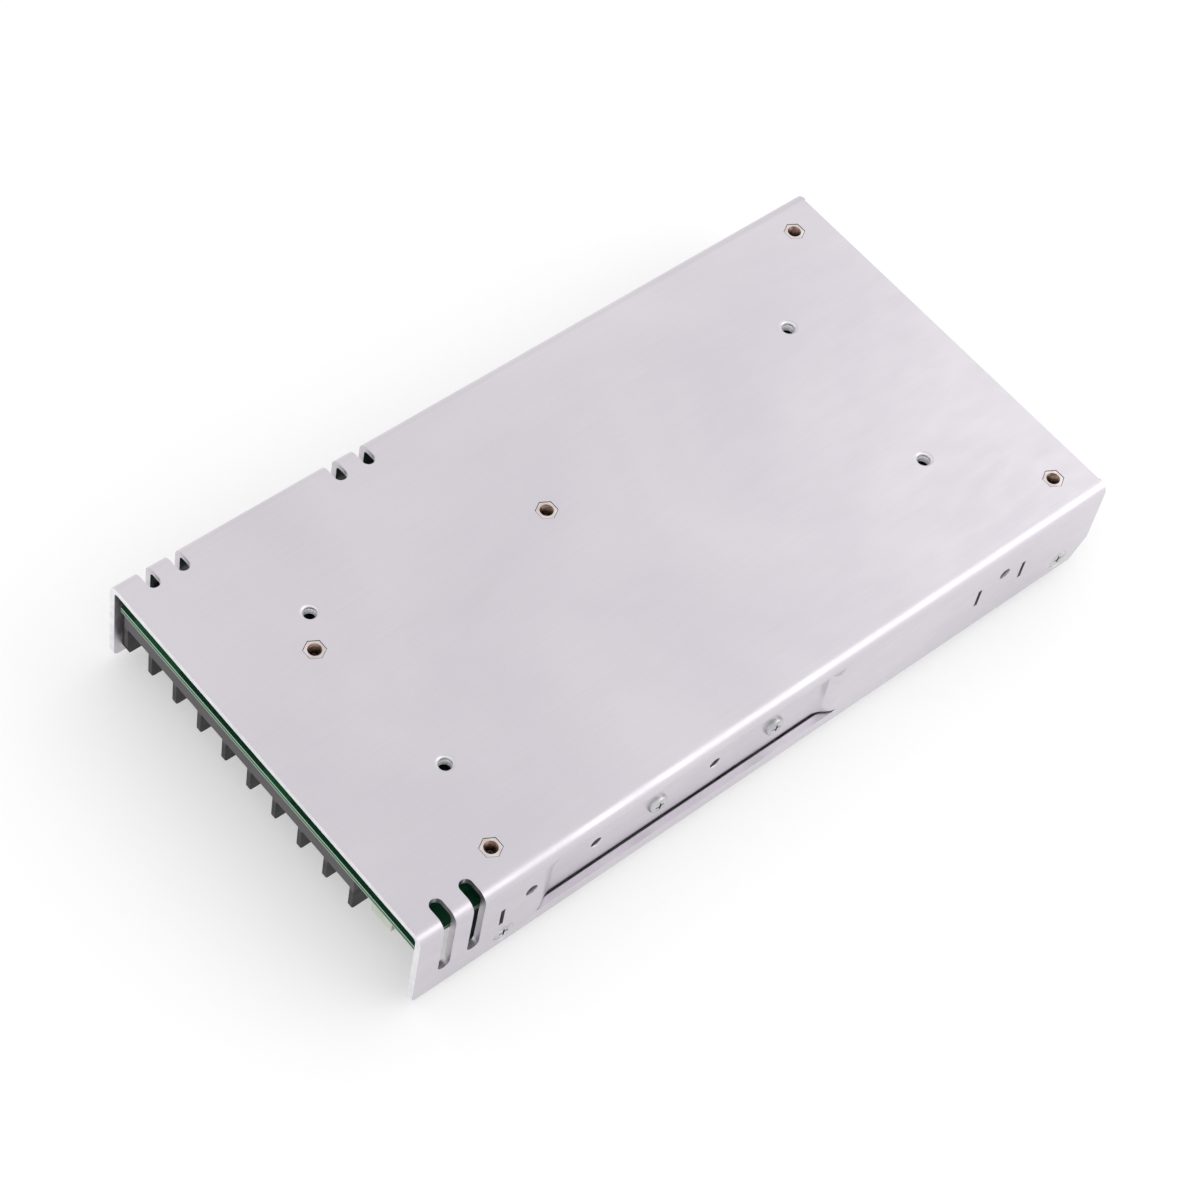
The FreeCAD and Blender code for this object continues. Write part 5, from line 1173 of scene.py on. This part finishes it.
@dataclass
class Cover(SubAssembly):
    """The perforated cover with its side flanges and end flange."""

    case: CaseSizes = CASE
    front: float = -88.0
    end: float = 107.3
    side: float = 55.5
    sheet: float = 1.0
    bend: float = 1.5
    flange: float = 11.0
    low_flange: float = 4.5
    low_span: tuple[float, float] = (-74.0, 23.0)
    end_flange: float = 27.0
    relief: float = 5.3
    notch: float = 3.5
    hole: float = 6.2
    web: float = 1.9
    border: float = 7.0
    tap: float = 1.45
    edge_round: float = 0.12

    def build(self) -> None:
        """Fold the sheet, thicken it and punch the field of holes."""
        sheet = Bench.block("perforated_cover", (self.front, -self.side, 0),
                            (self.end - self.relief, self.side, self.flange))
        with Editing(sheet) as edit:
            edit.faces(lambda at, normal: normal.z > 0.5 or abs(normal.x) > 0.5)
            bpy.ops.mesh.delete(type="FACE")
            edit.edges(lambda a, b: close(a.z, 0) and close(b.z, 0) and abs(a.x - b.x) > 1)
            edit.bevel(self.bend, 6)
            half = self.side - self.notch
            for y in (-half, half):
                edit.faces(lambda at, normal: normal.z < -0.99)
                edit.split((0, y, 0), (0, 1, 0))
            last = self.end - self.relief
            edit.edges(lambda a, b: close(a.x, last) and close(b.x, last) and close(a.z, 0) and close(b.z, 0)
                       and abs(a.y + b.y) < 1)
            bpy.ops.mesh.extrude_region_move(TRANSFORM_OT_translate={"value": (self.relief * MM, 0, 0)})
            bpy.ops.mesh.extrude_region_move(TRANSFORM_OT_translate={"value": (0, 0, self.end_flange * MM)})
            edit.edges(lambda a, b: close(a.x, self.end) and close(b.x, self.end)
                       and close(a.z, 0) and close(b.z, 0))
            edit.bevel(self.bend, 6)

            def high_part(at: Vector, normal: Vector) -> bool:
                """Whether a face is the front flange beside the recess."""
                return normal.y < -0.99 and within(at.x, *self.low_span)

            for x in self.low_span:
                edit.faces(lambda at, normal: normal.y < -0.99)
                edit.split((x, 0, 0), (1, 0, 0))
            edit.faces(high_part)
            edit.split((0, 0, self.low_flange), (0, 0, 1))
            edit.faces(lambda at, normal: high_part(at, normal) and at.z > self.low_flange)
            bpy.ops.mesh.delete(type="FACE")
            bpy.ops.mesh.select_all(action="SELECT")
            bpy.ops.mesh.normals_make_consistent(inside=False)
        Bench.modify(sheet, "SOLIDIFY", thickness=self.sheet * MM, offset=-1, use_even_offset=True)
        Bench.solve(sheet, self.punches(), Solve.CUT)
        taps = [Bench.rod("tap", (x, side * (self.side - 3), self.case.cover_screw_z),
                          Way.BACK if side > 0 else Way.FRONT, self.tap, 4, 32)
                for x in self.case.cover_screw_x for side in (-1, 1)]
        Bench.solve(sheet, taps, Solve.CUT)
        Bench.soften(sheet, self.edge_round, 1, 42)
        Bench.shade(sheet)
        self.hand_over(sheet, ["mesh_cover", "cover_flanges"], "cover_aluminium", Finishes.cover)

    def punches(self) -> list[bpy.types.Object]:
        """Make the staggered field of hexagonal tools."""
        pitch = self.hole + self.web
        step = pitch * math.sqrt(3) / 2
        low, high = self.front + self.border, self.end - self.bend - self.border
        rows = int((self.side - self.bend - self.border - self.hole / 2) // step)
        tools = []
        for odd in (0, 1):
            shift = pitch / 2 * odd
            count = int((high - low - self.hole - shift) // pitch) + 1
            spare = (high - low - self.hole - (count - 1) * pitch - shift) / 2
            first_row = -rows if (rows % 2 == 0) == (odd == 0) else -rows + 1
            lines = (rows - first_row) // 2 + 1
            tool = Bench.rod("punch", (low + spare + self.hole / 2 + shift, first_row * step, -1), Way.UP,
                             self.hole / math.sqrt(3), 3, sides=6)
            Bench.repeat(tool, count, (pitch, 0, 0))
            Bench.repeat(tool, lines, (0, 2 * step, 0))
            tools.append(tool)
        return tools


class Head(Enum):
    """The shape of a screw's head, as corners of a profile: radius, height above the seat."""

    FLAT = ((0, 0.0), (2.55, 0.0), (2.72, -0.06), (2.76, -0.18), (1.4, -1.4))
    PAN = ((0, 1.8), (1.5, 1.74), (2.3, 1.45), (2.68, 0.95), (2.8, 0.4), (2.78, 0.0), (1.4, 0.0))
    LOW = ((0, 1.25), (1.9, 1.2), (2.45, 1.0), (2.68, 0.55), (2.7, 0.0), (1.4, 0.0))
    TERMINAL = ((0, 2.2), (1.9, 2.14), (2.7, 1.85), (3.06, 1.3), (3.1, 0.5), (3.06, 0.0), (1.6, 0.0))


@dataclass
class ScrewSet(SubAssembly):
    """Cross-recessed screws of one kind, one at each spot."""

    name: str
    node: str
    slot_name: str
    finish: Finish
    head: Head
    length: float
    spots: Sequence[Point]
    ways: Sequence[Way]
    span: float = 3.3
    width: float = 0.62
    depth: float = 1.5
    slotted: bool = False
    taper: float = 0.45
    groove: float = 0.9
    groove_reach: float = 4.0
    tip: float = 0.6
    tip_share: float = 0.7
    edge_round: float = 0.05

    def build(self) -> None:
        """Turn one screw for each direction and copy it to its spots."""
        made: list[bpy.types.Object] = []
        for way in dict.fromkeys(self.ways):
            model = self.screw(way)
            made += [Bench.copy(model, spot) for spot, where in zip(self.spots, self.ways) if where is way]
            bpy.data.objects.remove(model)
        piece = Bench.merge(self.name, made)
        self.hand_over(piece, [self.node], self.slot_name, self.finish, Finishes.recess)

    def screw(self, way: Way) -> bpy.types.Object:
        """Model one screw at the origin, with its head towards the given way."""
        radius = self.head.value[-1][0]
        profile = [*self.head.value, (radius, -self.length + self.tip),
                   (radius * self.tip_share, -self.length), (0, -self.length)]
        item = Bench.lathe("screw", profile, (0, 0, 0), Way.UP, 32)
        top = self.head.value[0][1]
        half, wide = self.span / 2, self.width / 2
        arms = []
        for turned in (False, True):
            x, y = (wide, half) if turned else (half, wide)
            arm = Bench.block("arm", (-x, -y, top - self.depth), (x, y, top + 1))
            with Editing(arm) as edit:
                edit.points(lambda at: at.z < top)
                bpy.ops.transform.resize(value=(self.taper, self.taper, 1), center_override=(0, 0, top * MM))
            arms.append(arm)
        Bench.solve(arms[0], [arms[1]], Solve.JOIN)
        if self.slotted:
            groove = Bench.block("groove", (-self.groove_reach, -self.groove / 2, top - self.groove),
                                 (self.groove_reach, self.groove / 2, top + 1))
            Bench.solve(arms[0], [groove], Solve.JOIN)
        Bench.solve(item, [arms[0]], Solve.CUT)

        def sunk(at: Vector, normal: Vector) -> bool:
            """Whether a face lies in the head's recess."""
            return math.hypot(at.x, at.y) < half + 0.3 and top - self.depth - 0.1 < at.z < top - 0.12

        # Faces in the head's recess take a near-black finish as painted shade.
        Bench.set_apart(item, sunk, (self.finish, Finishes.recess))
        Bench.soften(item, self.edge_round, 1, 38)
        Bench.shade(item, 34)
        Bench.aim(item, way)
        return Bench.settle(item)


@dataclass
class Standoffs(SubAssembly):
    """Pressed-in hexagonal standoffs with a threaded bore."""

    case: CaseSizes = CASE
    across: float = 4.86
    sunk: float = 0.04
    chamfer: float = 0.24
    post: float = 2.1
    bore: float = 1.25
    root: float = 1.45
    mouth: float = 1.75
    mouth_depth: float = 0.5
    unthreaded: float = 0.6
    bored_out: float = 1.62
    turns: int = 13

    def build(self) -> None:
        """Model one standoff and copy it to the five seats."""
        low, high, under = self.case.board_top, self.case.top, self.case.base_in
        head = Bench.rod("head", (0, 0, under), Way.UP, self.across / math.sqrt(3),
                         self.case.sheet - self.sunk, sides=6)
        with Editing(head) as edit:
            edit.edges(lambda a, b: a.z > high - 0.5 and b.z > high - 0.5)
            edit.bevel(self.chamfer, 2)
        post = Bench.rod("post", (0, 0, low), Way.UP, self.post, under - low + 0.3, 32)
        Bench.solve(head, [post], Solve.JOIN)
        profile = [(0, low - 1), (self.bore, low - 1)]
        step = (high - low - self.unthreaded) / self.turns
        for turn in range(self.turns):
            base = low + step * turn
            profile += [(self.root, base + step * 0.5), (self.bore, base + step)]
        profile += [(1.32, high - self.mouth_depth), (self.mouth, high - 0.02), (self.mouth, high + 1),
                    (0, high + 1)]
        Bench.solve(head, [Bench.lathe("bore", profile, (0, 0, 0), Way.UP, 28)], Solve.CUT)

        def bored(at: Vector, normal: Vector) -> bool:
            """Whether a face lies in the threaded bore or on the hexagon's sides."""
            return abs(normal.z) < 0.9 and (math.hypot(at.x, at.y) < self.bored_out or at.z > under)

        # The bore and the hexagon's chamfered sides take a dark brown as painted shade.
        Bench.set_apart(head, bored, (Finishes.standoff, Finishes.bore))
        Bench.shade(head, 34)
        made = [Bench.copy(head, (x, y, 0)) for x, y in self.case.standoffs]
        bpy.data.objects.remove(head)
        piece = Bench.merge("hexagonal_standoffs", made)
        self.hand_over(piece, ["pcb_standoffs"], "standoff_brass", Finishes.standoff, Finishes.bore)


@dataclass
class InsulationFilm(SubAssembly):
    """The milky film between the board and the base plate, cut back behind the vent slots."""

    case: CaseSizes = CASE
    front: float = -98.5
    end: float = 96.7
    side: float = 53.2
    low: float = 27.9
    high: float = 28.2
    notch: float = 38.0
    reach: float = 60.0
    notches: tuple[tuple[float, float, int], ...] = (
        (-100.5, -82.0, -1), (-100.5, -82.0, 1), (-52.0, -29.0, 1))
    post_hole: float = 3.4
    collar_hole: float = 3.6

    def build(self) -> None:
        """Cut the film to its outline, with its holes and its notches."""
        film = Bench.block("insulating_film", (self.front, -self.side, self.low),
                           (self.end, self.side, self.high))
        places = [(x, y, self.post_hole) for x, y in self.case.standoffs]
        places += [(x, y, self.collar_hole) for x, y in self.case.mounts]
        tools = [Bench.rod("hole", (x, y, self.low - 1), Way.UP, radius, 3, 32) for x, y, radius in places]
        Bench.solve(film, tools, Solve.CUT)
        for first, last, side in self.notches:
            inner, outer = sorted((side * self.notch, side * self.reach))
            notch = Bench.block("notch", (first, inner, self.low - 1), (last, outer, self.high + 1))
            Bench.solve(film, [notch], Solve.CUT)
        Bench.shade(film)
        self.hand_over(film, ["insulation_sheet"], "insulation_film", Finishes.film)


@dataclass
class Board(SubAssembly):
    """The circuit board with its solder joints."""

    case: CaseSizes = CASE
    front: float = -106.5
    end: float = 104.3
    side: float = 54.7
    step_y: float = 52.9
    step_x: tuple[float, float] = (-74.0, 23.0)
    hole: float = 1.7
    edge_round: float = 0.08
    joints: int = 260
    grid: float = 2.54
    room: float = 2.4
    standoff_room: float = 5.4
    mount_room: float = 4.6
    field: tuple[float, float] = (100.0, 49.0)
    seed: int = 9

    def build(self) -> None:
        """Cut the board to its outline and set the joints on its solder side."""
        case = self.case
        board = Bench.block("laminate_board", (self.front, -self.side, case.board_low),
                            (self.end, self.side, case.board_top))
        tools = [Bench.block("step", (self.step_x[0], -self.side - 1, case.board_low - 1),
                             (self.step_x[1], -self.step_y, case.board_top + 1))]
        tools += [Bench.rod("hole", (x, y, case.board_low - 1), Way.UP, self.hole, 4, 32)
                  for x, y in case.standoffs]
        Bench.solve(board, tools, Solve.CUT)
        Bench.soften(board, self.edge_round, 1)
        Bench.set_apart(board, lambda at, normal: abs(normal.z) < 0.5)
        Bench.shade(board)
        self.hand_over(board, ["circuit_board"], "board_laminate", Finishes.mask, Finishes.edge)
        self.hand_over(self.solder(), [], "tinned_brass", Finishes.tinned)

    def solder(self) -> bpy.types.Object:
        """Model the solder joints: cones round clipped leads, in loose rows."""
        top = self.case.board_top
        profile = [(0, 1.5), (0.32, 1.45), (0.36, 0.75), (0.62, 0.3), (1.05, 0.05), (1.15, -0.05), (0, -0.05)]
        joint = Bench.lathe("joint", profile, (0, 0, top), Way.UP, 10)
        Bench.shade(joint, 60)
        chance = random.Random(self.seed)
        # Two leads for each place of the terminal block
        spots = [(-98.0 + 5.0 * (k % 2), 49.0 - BLOCK.pitch * (k // 2)) for k in range(2 * BLOCK.places)]
        # A row along the front edge
        spots += [(-104.0, 40.0 - 9.0 * k) for k in range(9)]
        # Joints that show through the vent slots
        spots += [(-99.4, -50.6), (-91.0, -51.0), (-99.0, 51.6), (-90.6, 52.2), (-45.0, 51.5), (-37.4, 52.0)]
        keep_off = [(x, y, self.standoff_room) for x, y in self.case.standoffs]
        keep_off += [(x, y, self.mount_room) for x, y in self.case.mounts]
        far_x, far_y = self.field
        while len(spots) < self.joints:
            x = round(chance.uniform(-far_x, far_x) / self.grid) * self.grid
            y = round(chance.uniform(-far_y, far_y) / self.grid) * self.grid
            near_other = any(abs(x - a) < self.room and abs(y - b) < self.room for a, b in spots)
            blocked = any(math.hypot(x - a, y - b) < room for a, b, room in keep_off)
            if not near_other and not blocked:
                spots.append((x, y))
        made = [Bench.copy(joint, (x, y, 0)) for x, y in spots]
        bpy.data.objects.remove(joint)
        return Bench.merge("solder_joints", made)


@dataclass
class TerminalBlock(SubAssembly):
    """The moulded barrier block with nine places."""

    block: BlockSizes = BLOCK
    back_depth: float = 3.5
    divider_drop: float = 13.4
    rear_drop: float = 16.6
    rear_shift: float = 6.9
    rear_room: float = 1.75
    foot_round: float = 0.9
    divider_step: float = 10.0
    hollow_half: float = 2.6
    hollow_depth: float = 0.35
    hollow_skin: float = 0.001
    hollow_low: float = 3.2
    hollow_high: float = 0.8
    screw_hole: float = 1.65
    hole_low: float = 0.2
    hole_depth: float = 3.7
    rib_front: float = 0.9
    rib_rear: float = 2.0
    rib_out: float = 1.9
    rib_low: float = 5.0
    rib_drop: float = 0.3
    round_edge: float = 0.22

    def build(self) -> None:
        """Model the base with its back wall, then the dividers and what each place has."""
        block = self.block
        base = Bench.block("barrier_block", (block.front, block.last, block.ledge),
                           (block.rear, block.first, block.top))
        back = Bench.block("back", (block.rear - self.back_depth, block.last, block.back),
                           (block.rear, block.first, block.ledge + 1))
        Bench.solve(base, [back], Solve.JOIN)
        Bench.solve(base, [self.dividers()], Solve.JOIN)
        low, high = block.ledge + self.hollow_low, block.top - self.hollow_high
        hollows = [Bench.block("hollow", (block.front + self.hollow_skin, y - self.hollow_half, low),
                               (block.front + self.hollow_depth, y + self.hollow_half, high))
                   for y in block.spots]
        Bench.solve(base, hollows, Solve.CUT)
        holes = [Bench.rod("hole", (block.screw_x, y, block.ledge - self.hole_low), Way.UP,
                           self.screw_hole, self.hole_depth, 24) for y in block.spots]
        Bench.solve(base, holes, Solve.CUT)
        # Painted shade: a near-black rib fills the shaded gap between the block's end and the wall.
        rib = Bench.block("rib", (block.front + self.rib_front, block.first - 1, self.rib_low),
                          (block.rear - self.rib_rear, block.first + self.rib_out, block.top - self.rib_drop))
        Bench.solve(base, [rib], Solve.JOIN)
        # Faces past the block's end, on the rib, take the near-black finish as painted shade.
        Bench.set_apart(base, lambda at, normal: at.y > block.first + 0.2)
        Bench.soften(base, self.round_edge, 2, 42)
        Bench.shade(base, 36)
        self.hand_over(base, ["terminal_block"], "block_plastic", Finishes.block, Finishes.shaded)

    def dividers(self) -> bpy.types.Object:
        """Model the first divider, deeper at its rear, and repeat it along the block."""
        block = self.block
        inner, rear = block.first - block.wall, block.rear - self.rear_room
        divider = Bench.block("divider", (block.front, inner, block.top - self.divider_drop),
                              (rear, block.first, block.top))
        rear_part = Bench.block("rear", (block.front + self.rear_shift, inner, block.top - self.rear_drop),
                                (rear, block.first, block.top - self.divider_step))
        Bench.solve(divider, [rear_part], Solve.JOIN)
        with Editing(divider) as edit:
            edit.edges(lambda a, b: abs(a.y - b.y) > 1 and close(a.x, block.front) and close(b.x, block.front)
                       and a.z < 10 and b.z < 10)
            edit.bevel(self.foot_round, 3)
        Bench.repeat(divider, block.places + 1, (0, -block.pitch, 0))
        return divider


@dataclass
class WireClamps(SubAssembly):
    """Square wire clamps with grooves for the wire, one under each terminal screw."""

    block: BlockSizes = BLOCK
    side: float = 7.0
    sheet: float = 1.0
    hole: float = 1.7
    groove: float = 0.6
    groove_shift: float = 2.4
    groove_lift: float = 0.25
    edge_round: float = 0.15

    def build(self) -> None:
        """Model one clamp and copy it along the block."""
        x, low = self.block.screw_x, self.block.clamp_low
        half, high = self.side / 2, self.block.clamp_low + self.sheet
        plate = Bench.block("clamp", (x - half, -half, low), (x + half, half, high))
        grooves = [Bench.rod("groove", (x + shift, -half - 1, high + self.groove_lift), Way.BACK,
                             self.groove, self.side + 2, 12)
                   for shift in (-self.groove_shift, self.groove_shift)]
        Bench.solve(plate, grooves, Solve.CUT)
        hole = Bench.rod("hole", (x, 0, low - 1), Way.UP, self.hole, 3, 32)
        Bench.solve(plate, [hole], Solve.CUT)
        Bench.soften(plate, self.edge_round, 2, 50)
        Bench.shade(plate)
        made = [Bench.copy(plate, (0, y, 0)) for y in self.block.spots]
        bpy.data.objects.remove(plate)
        piece = Bench.merge("clamp_plates", made)
        self.hand_over(piece, ["wire_clamps"], "terminal_steel", Finishes.terminal)


@dataclass
class CarriedOver:
    """CAD nodes that keep their shape and get their finish here."""

    frame: dict
    finishes: dict[str, Finish]

    def build(self) -> None:
        """Assign each node its material."""
        for name, finish in self.finishes.items():
            mesh = self.frame["nodes"][name].data
            mesh.materials.clear()
            mesh.materials.append(finish.material())


@dataclass
class Studio:
    """Camera, lights, surround and floor of the photograph."""

    place: Point = (-353.1818, -287.5957, 638.1204)
    right: Point = (0.758297, -0.639301, 0.127592)
    up: Point = (0.472911, 0.674164, 0.567326)
    back: Point = (-0.44871, -0.369862, 0.813549)
    lens: float = 96.2402
    surround: float = 0.94
    paper: float = 0.39
    ground: float = 0.62
    floor_gap: float = 0.3
    aim: Point = (0, 0, 0.02)
    lamps: tuple[tuple[str, Point, tuple[float, float], float], ...] = (
        ("key", (1.35, 0.25, 1.2), (1.0, 0.8), 1.3),
        ("edge", (0.80, -0.95, 0.80), (1.3, 1.2), 4.5))

    def build(self) -> None:
        """Set up everything that isn't part of the object."""
        bpy.context.scene.view_settings.view_transform = "Standard"
        self.camera()
        self.world()
        self.floor()
        for lamp in self.lamps:
            self.softbox(*lamp)

    def camera(self) -> None:
        """Place the camera by the angles fitted to the photograph."""
        bpy.ops.object.camera_add()
        camera = bpy.context.object
        turn = Matrix((self.right, self.up, self.back)).transposed()
        camera.rotation_mode = "QUATERNION"
        camera.rotation_quaternion = turn.to_quaternion()
        camera.location = Vector(self.place) * MM
        camera.data.lens = self.lens
        camera.data.sensor_width = 36
        camera.data.clip_start = 0.01
        bpy.context.scene.camera = camera

    def world(self) -> None:
        """Surround the object with an even pale light."""
        world = bpy.data.worlds.new("studio")
        world.use_nodes = True
        shade = world.node_tree.nodes["Background"]
        shade.inputs["Color"].default_value = (1.0, 1.0, 1.0, 1)
        shade.inputs["Strength"].default_value = self.surround
        bpy.context.scene.world = world

    def floor(self) -> None:
        """Lay a plain floor under the supply that the camera sees as white paper."""
        bpy.ops.mesh.primitive_plane_add(size=8, location=(0, 0, -self.floor_gap * MM))
        floor = Bench.settle(bpy.context.object, "floor")
        paper = Tree("paper")
        paper.set(Base_Color=(self.ground, self.ground, self.ground, 1), Roughness=0.9,
                  Specular_IOR_Level=0.0, Emission_Color=(1, 1, 1, 1))
        path = paper.add("ShaderNodeLightPath").outputs
        seen = paper.maths("MAXIMUM", path["Is Camera Ray"], path["Is Glossy Ray"])
        seen = paper.maths("MAXIMUM", seen, path["Is Transmission Ray"])
        paper.join(paper.remap(seen, (0, 1), (0, self.paper)), paper.shader.inputs["Emission Strength"])
        floor.data.materials.append(paper.material)
        floor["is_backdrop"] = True

    def softbox(self, name: str, place: Point, size: tuple[float, float], power: float) -> None:
        """Hang a soft area light that looks at the supply, with its place and size in metres."""
        bpy.ops.object.light_add(type="AREA", location=place)
        lamp = bpy.context.object
        lamp.name = name
        lamp.data.shape = "RECTANGLE"
        lamp.data.size, lamp.data.size_y = size
        lamp.data.energy = power
        lamp.rotation_mode = "QUATERNION"
        lamp.rotation_quaternion = (Vector(self.aim) - Vector(place)).to_track_quat("-Z", "Y")


def cad_finishes() -> dict[str, Finish]:
    """Finishes of the CAD nodes that are shown as they are."""
    wanted = {
        "terminal_contacts": Finishes.tinned, "fuse_clips": Finishes.tinned,
        "trimmer_body": Finishes.trimmer, "trimmer_rotor": Finishes.rotor, "indicator_lamp": Finishes.lamp,
        "selector_body": Finishes.selector, "selector_slider": Finishes.slider,
        "thermal_pads": Finishes.silicone, "clamp_bars": Finishes.bar,
        "heatsink": Finishes.sink, "heatsink_screws": Finishes.screw, "fuse": Finishes.fuse,
        "thermistor": Finishes.thermistor, "varistor": Finishes.varistor, "y_capacitors": Finishes.varistor,
        "x_capacitor": Finishes.film_cap, "snubber_capacitor": Finishes.snubber,
        "line_choke_core": Finishes.ferrite, "line_choke_windings": Finishes.line_wire,
        "output_choke_core": Finishes.powder, "output_choke_winding": Finishes.output_wire,
        "transformer_core": Finishes.ferrite, "transformer_bobbin": Finishes.bobbin,
        "transformer_winding": Finishes.tape, "auxiliary_transformer": Finishes.tape,
        "bulk_capacitors": Finishes.bulk_sleeve, "output_capacitors": Finishes.output_sleeve,
        "small_capacitors": Finishes.small_sleeve, "power_resistors": Finishes.resistor,
    }
    devices = ("output_rectifiers", "power_transistors", "bridge_rectifier", "control_chips", "optocouplers")
    return wanted | dict.fromkeys(devices, Finishes.device)


def screws() -> list[ScrewSet]:
    """Every set of screws, with its spots and directions."""
    case, block = CASE, BLOCK
    sides = [(x, side) for x in case.cover_screw_x for side in (-1, 1)]
    facing = {-1: Way.FRONT, 1: Way.BACK}
    return [
        ScrewSet("cover_fixings", "cover_screws", "screw_steel", Finishes.screw, Head.FLAT, 4.8,
                 [(x, side * (case.side - 0.02), case.cover_screw_z) for x, side in sides],
                 [facing[side] for _, side in sides]),
        ScrewSet("clamp_fixings", "clamp_screws", "screw_steel", Finishes.screw, Head.LOW, 9.0,
                 [(x, RECESS.depth - case.side, case.clamp_z) for x in case.clamp_x],
                 [Way.FRONT] * len(case.clamp_x)),
        ScrewSet("board_fixings", "pcb_screws", "screw_steel", Finishes.screw, Head.PAN, 5.3,
                 [(x, y, case.board_low) for x, y in case.standoffs], [Way.DOWN] * len(case.standoffs)),
        ScrewSet("terminal_fixings", "terminal_screws", "terminal_steel", Finishes.terminal, Head.TERMINAL,
                 4.8, [(block.screw_x, y, block.clamp_low) for y in block.spots], [Way.DOWN] * block.places,
                 span=3.8, width=0.75, slotted=True),
    ]


def corners() -> list[list[float]]:
    """Give the shown object's lowest and highest corner as plain numbers."""
    return [[float(number) for number in corner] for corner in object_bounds()]


def main() -> dict:
    """Load the frame, build the looks round it and light it.

    Returns:
        The box of the CAD model and the box of the finished one.
    """
    logging.basicConfig(level=logging.INFO, format="%(name)s: %(message)s")
    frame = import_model()
    sizes = {"cad": corners()}
    CarriedOver(frame, cad_finishes()).build()
    for group in (Chassis(), Cover(), Standoffs(), InsulationFilm(), Board(), TerminalBlock(), WireClamps(),
                  *screws()):
        group.build()
    Studio().build()
    sizes["visual"] = corners()
    return sizes


if __name__ == "__main__":
    main()
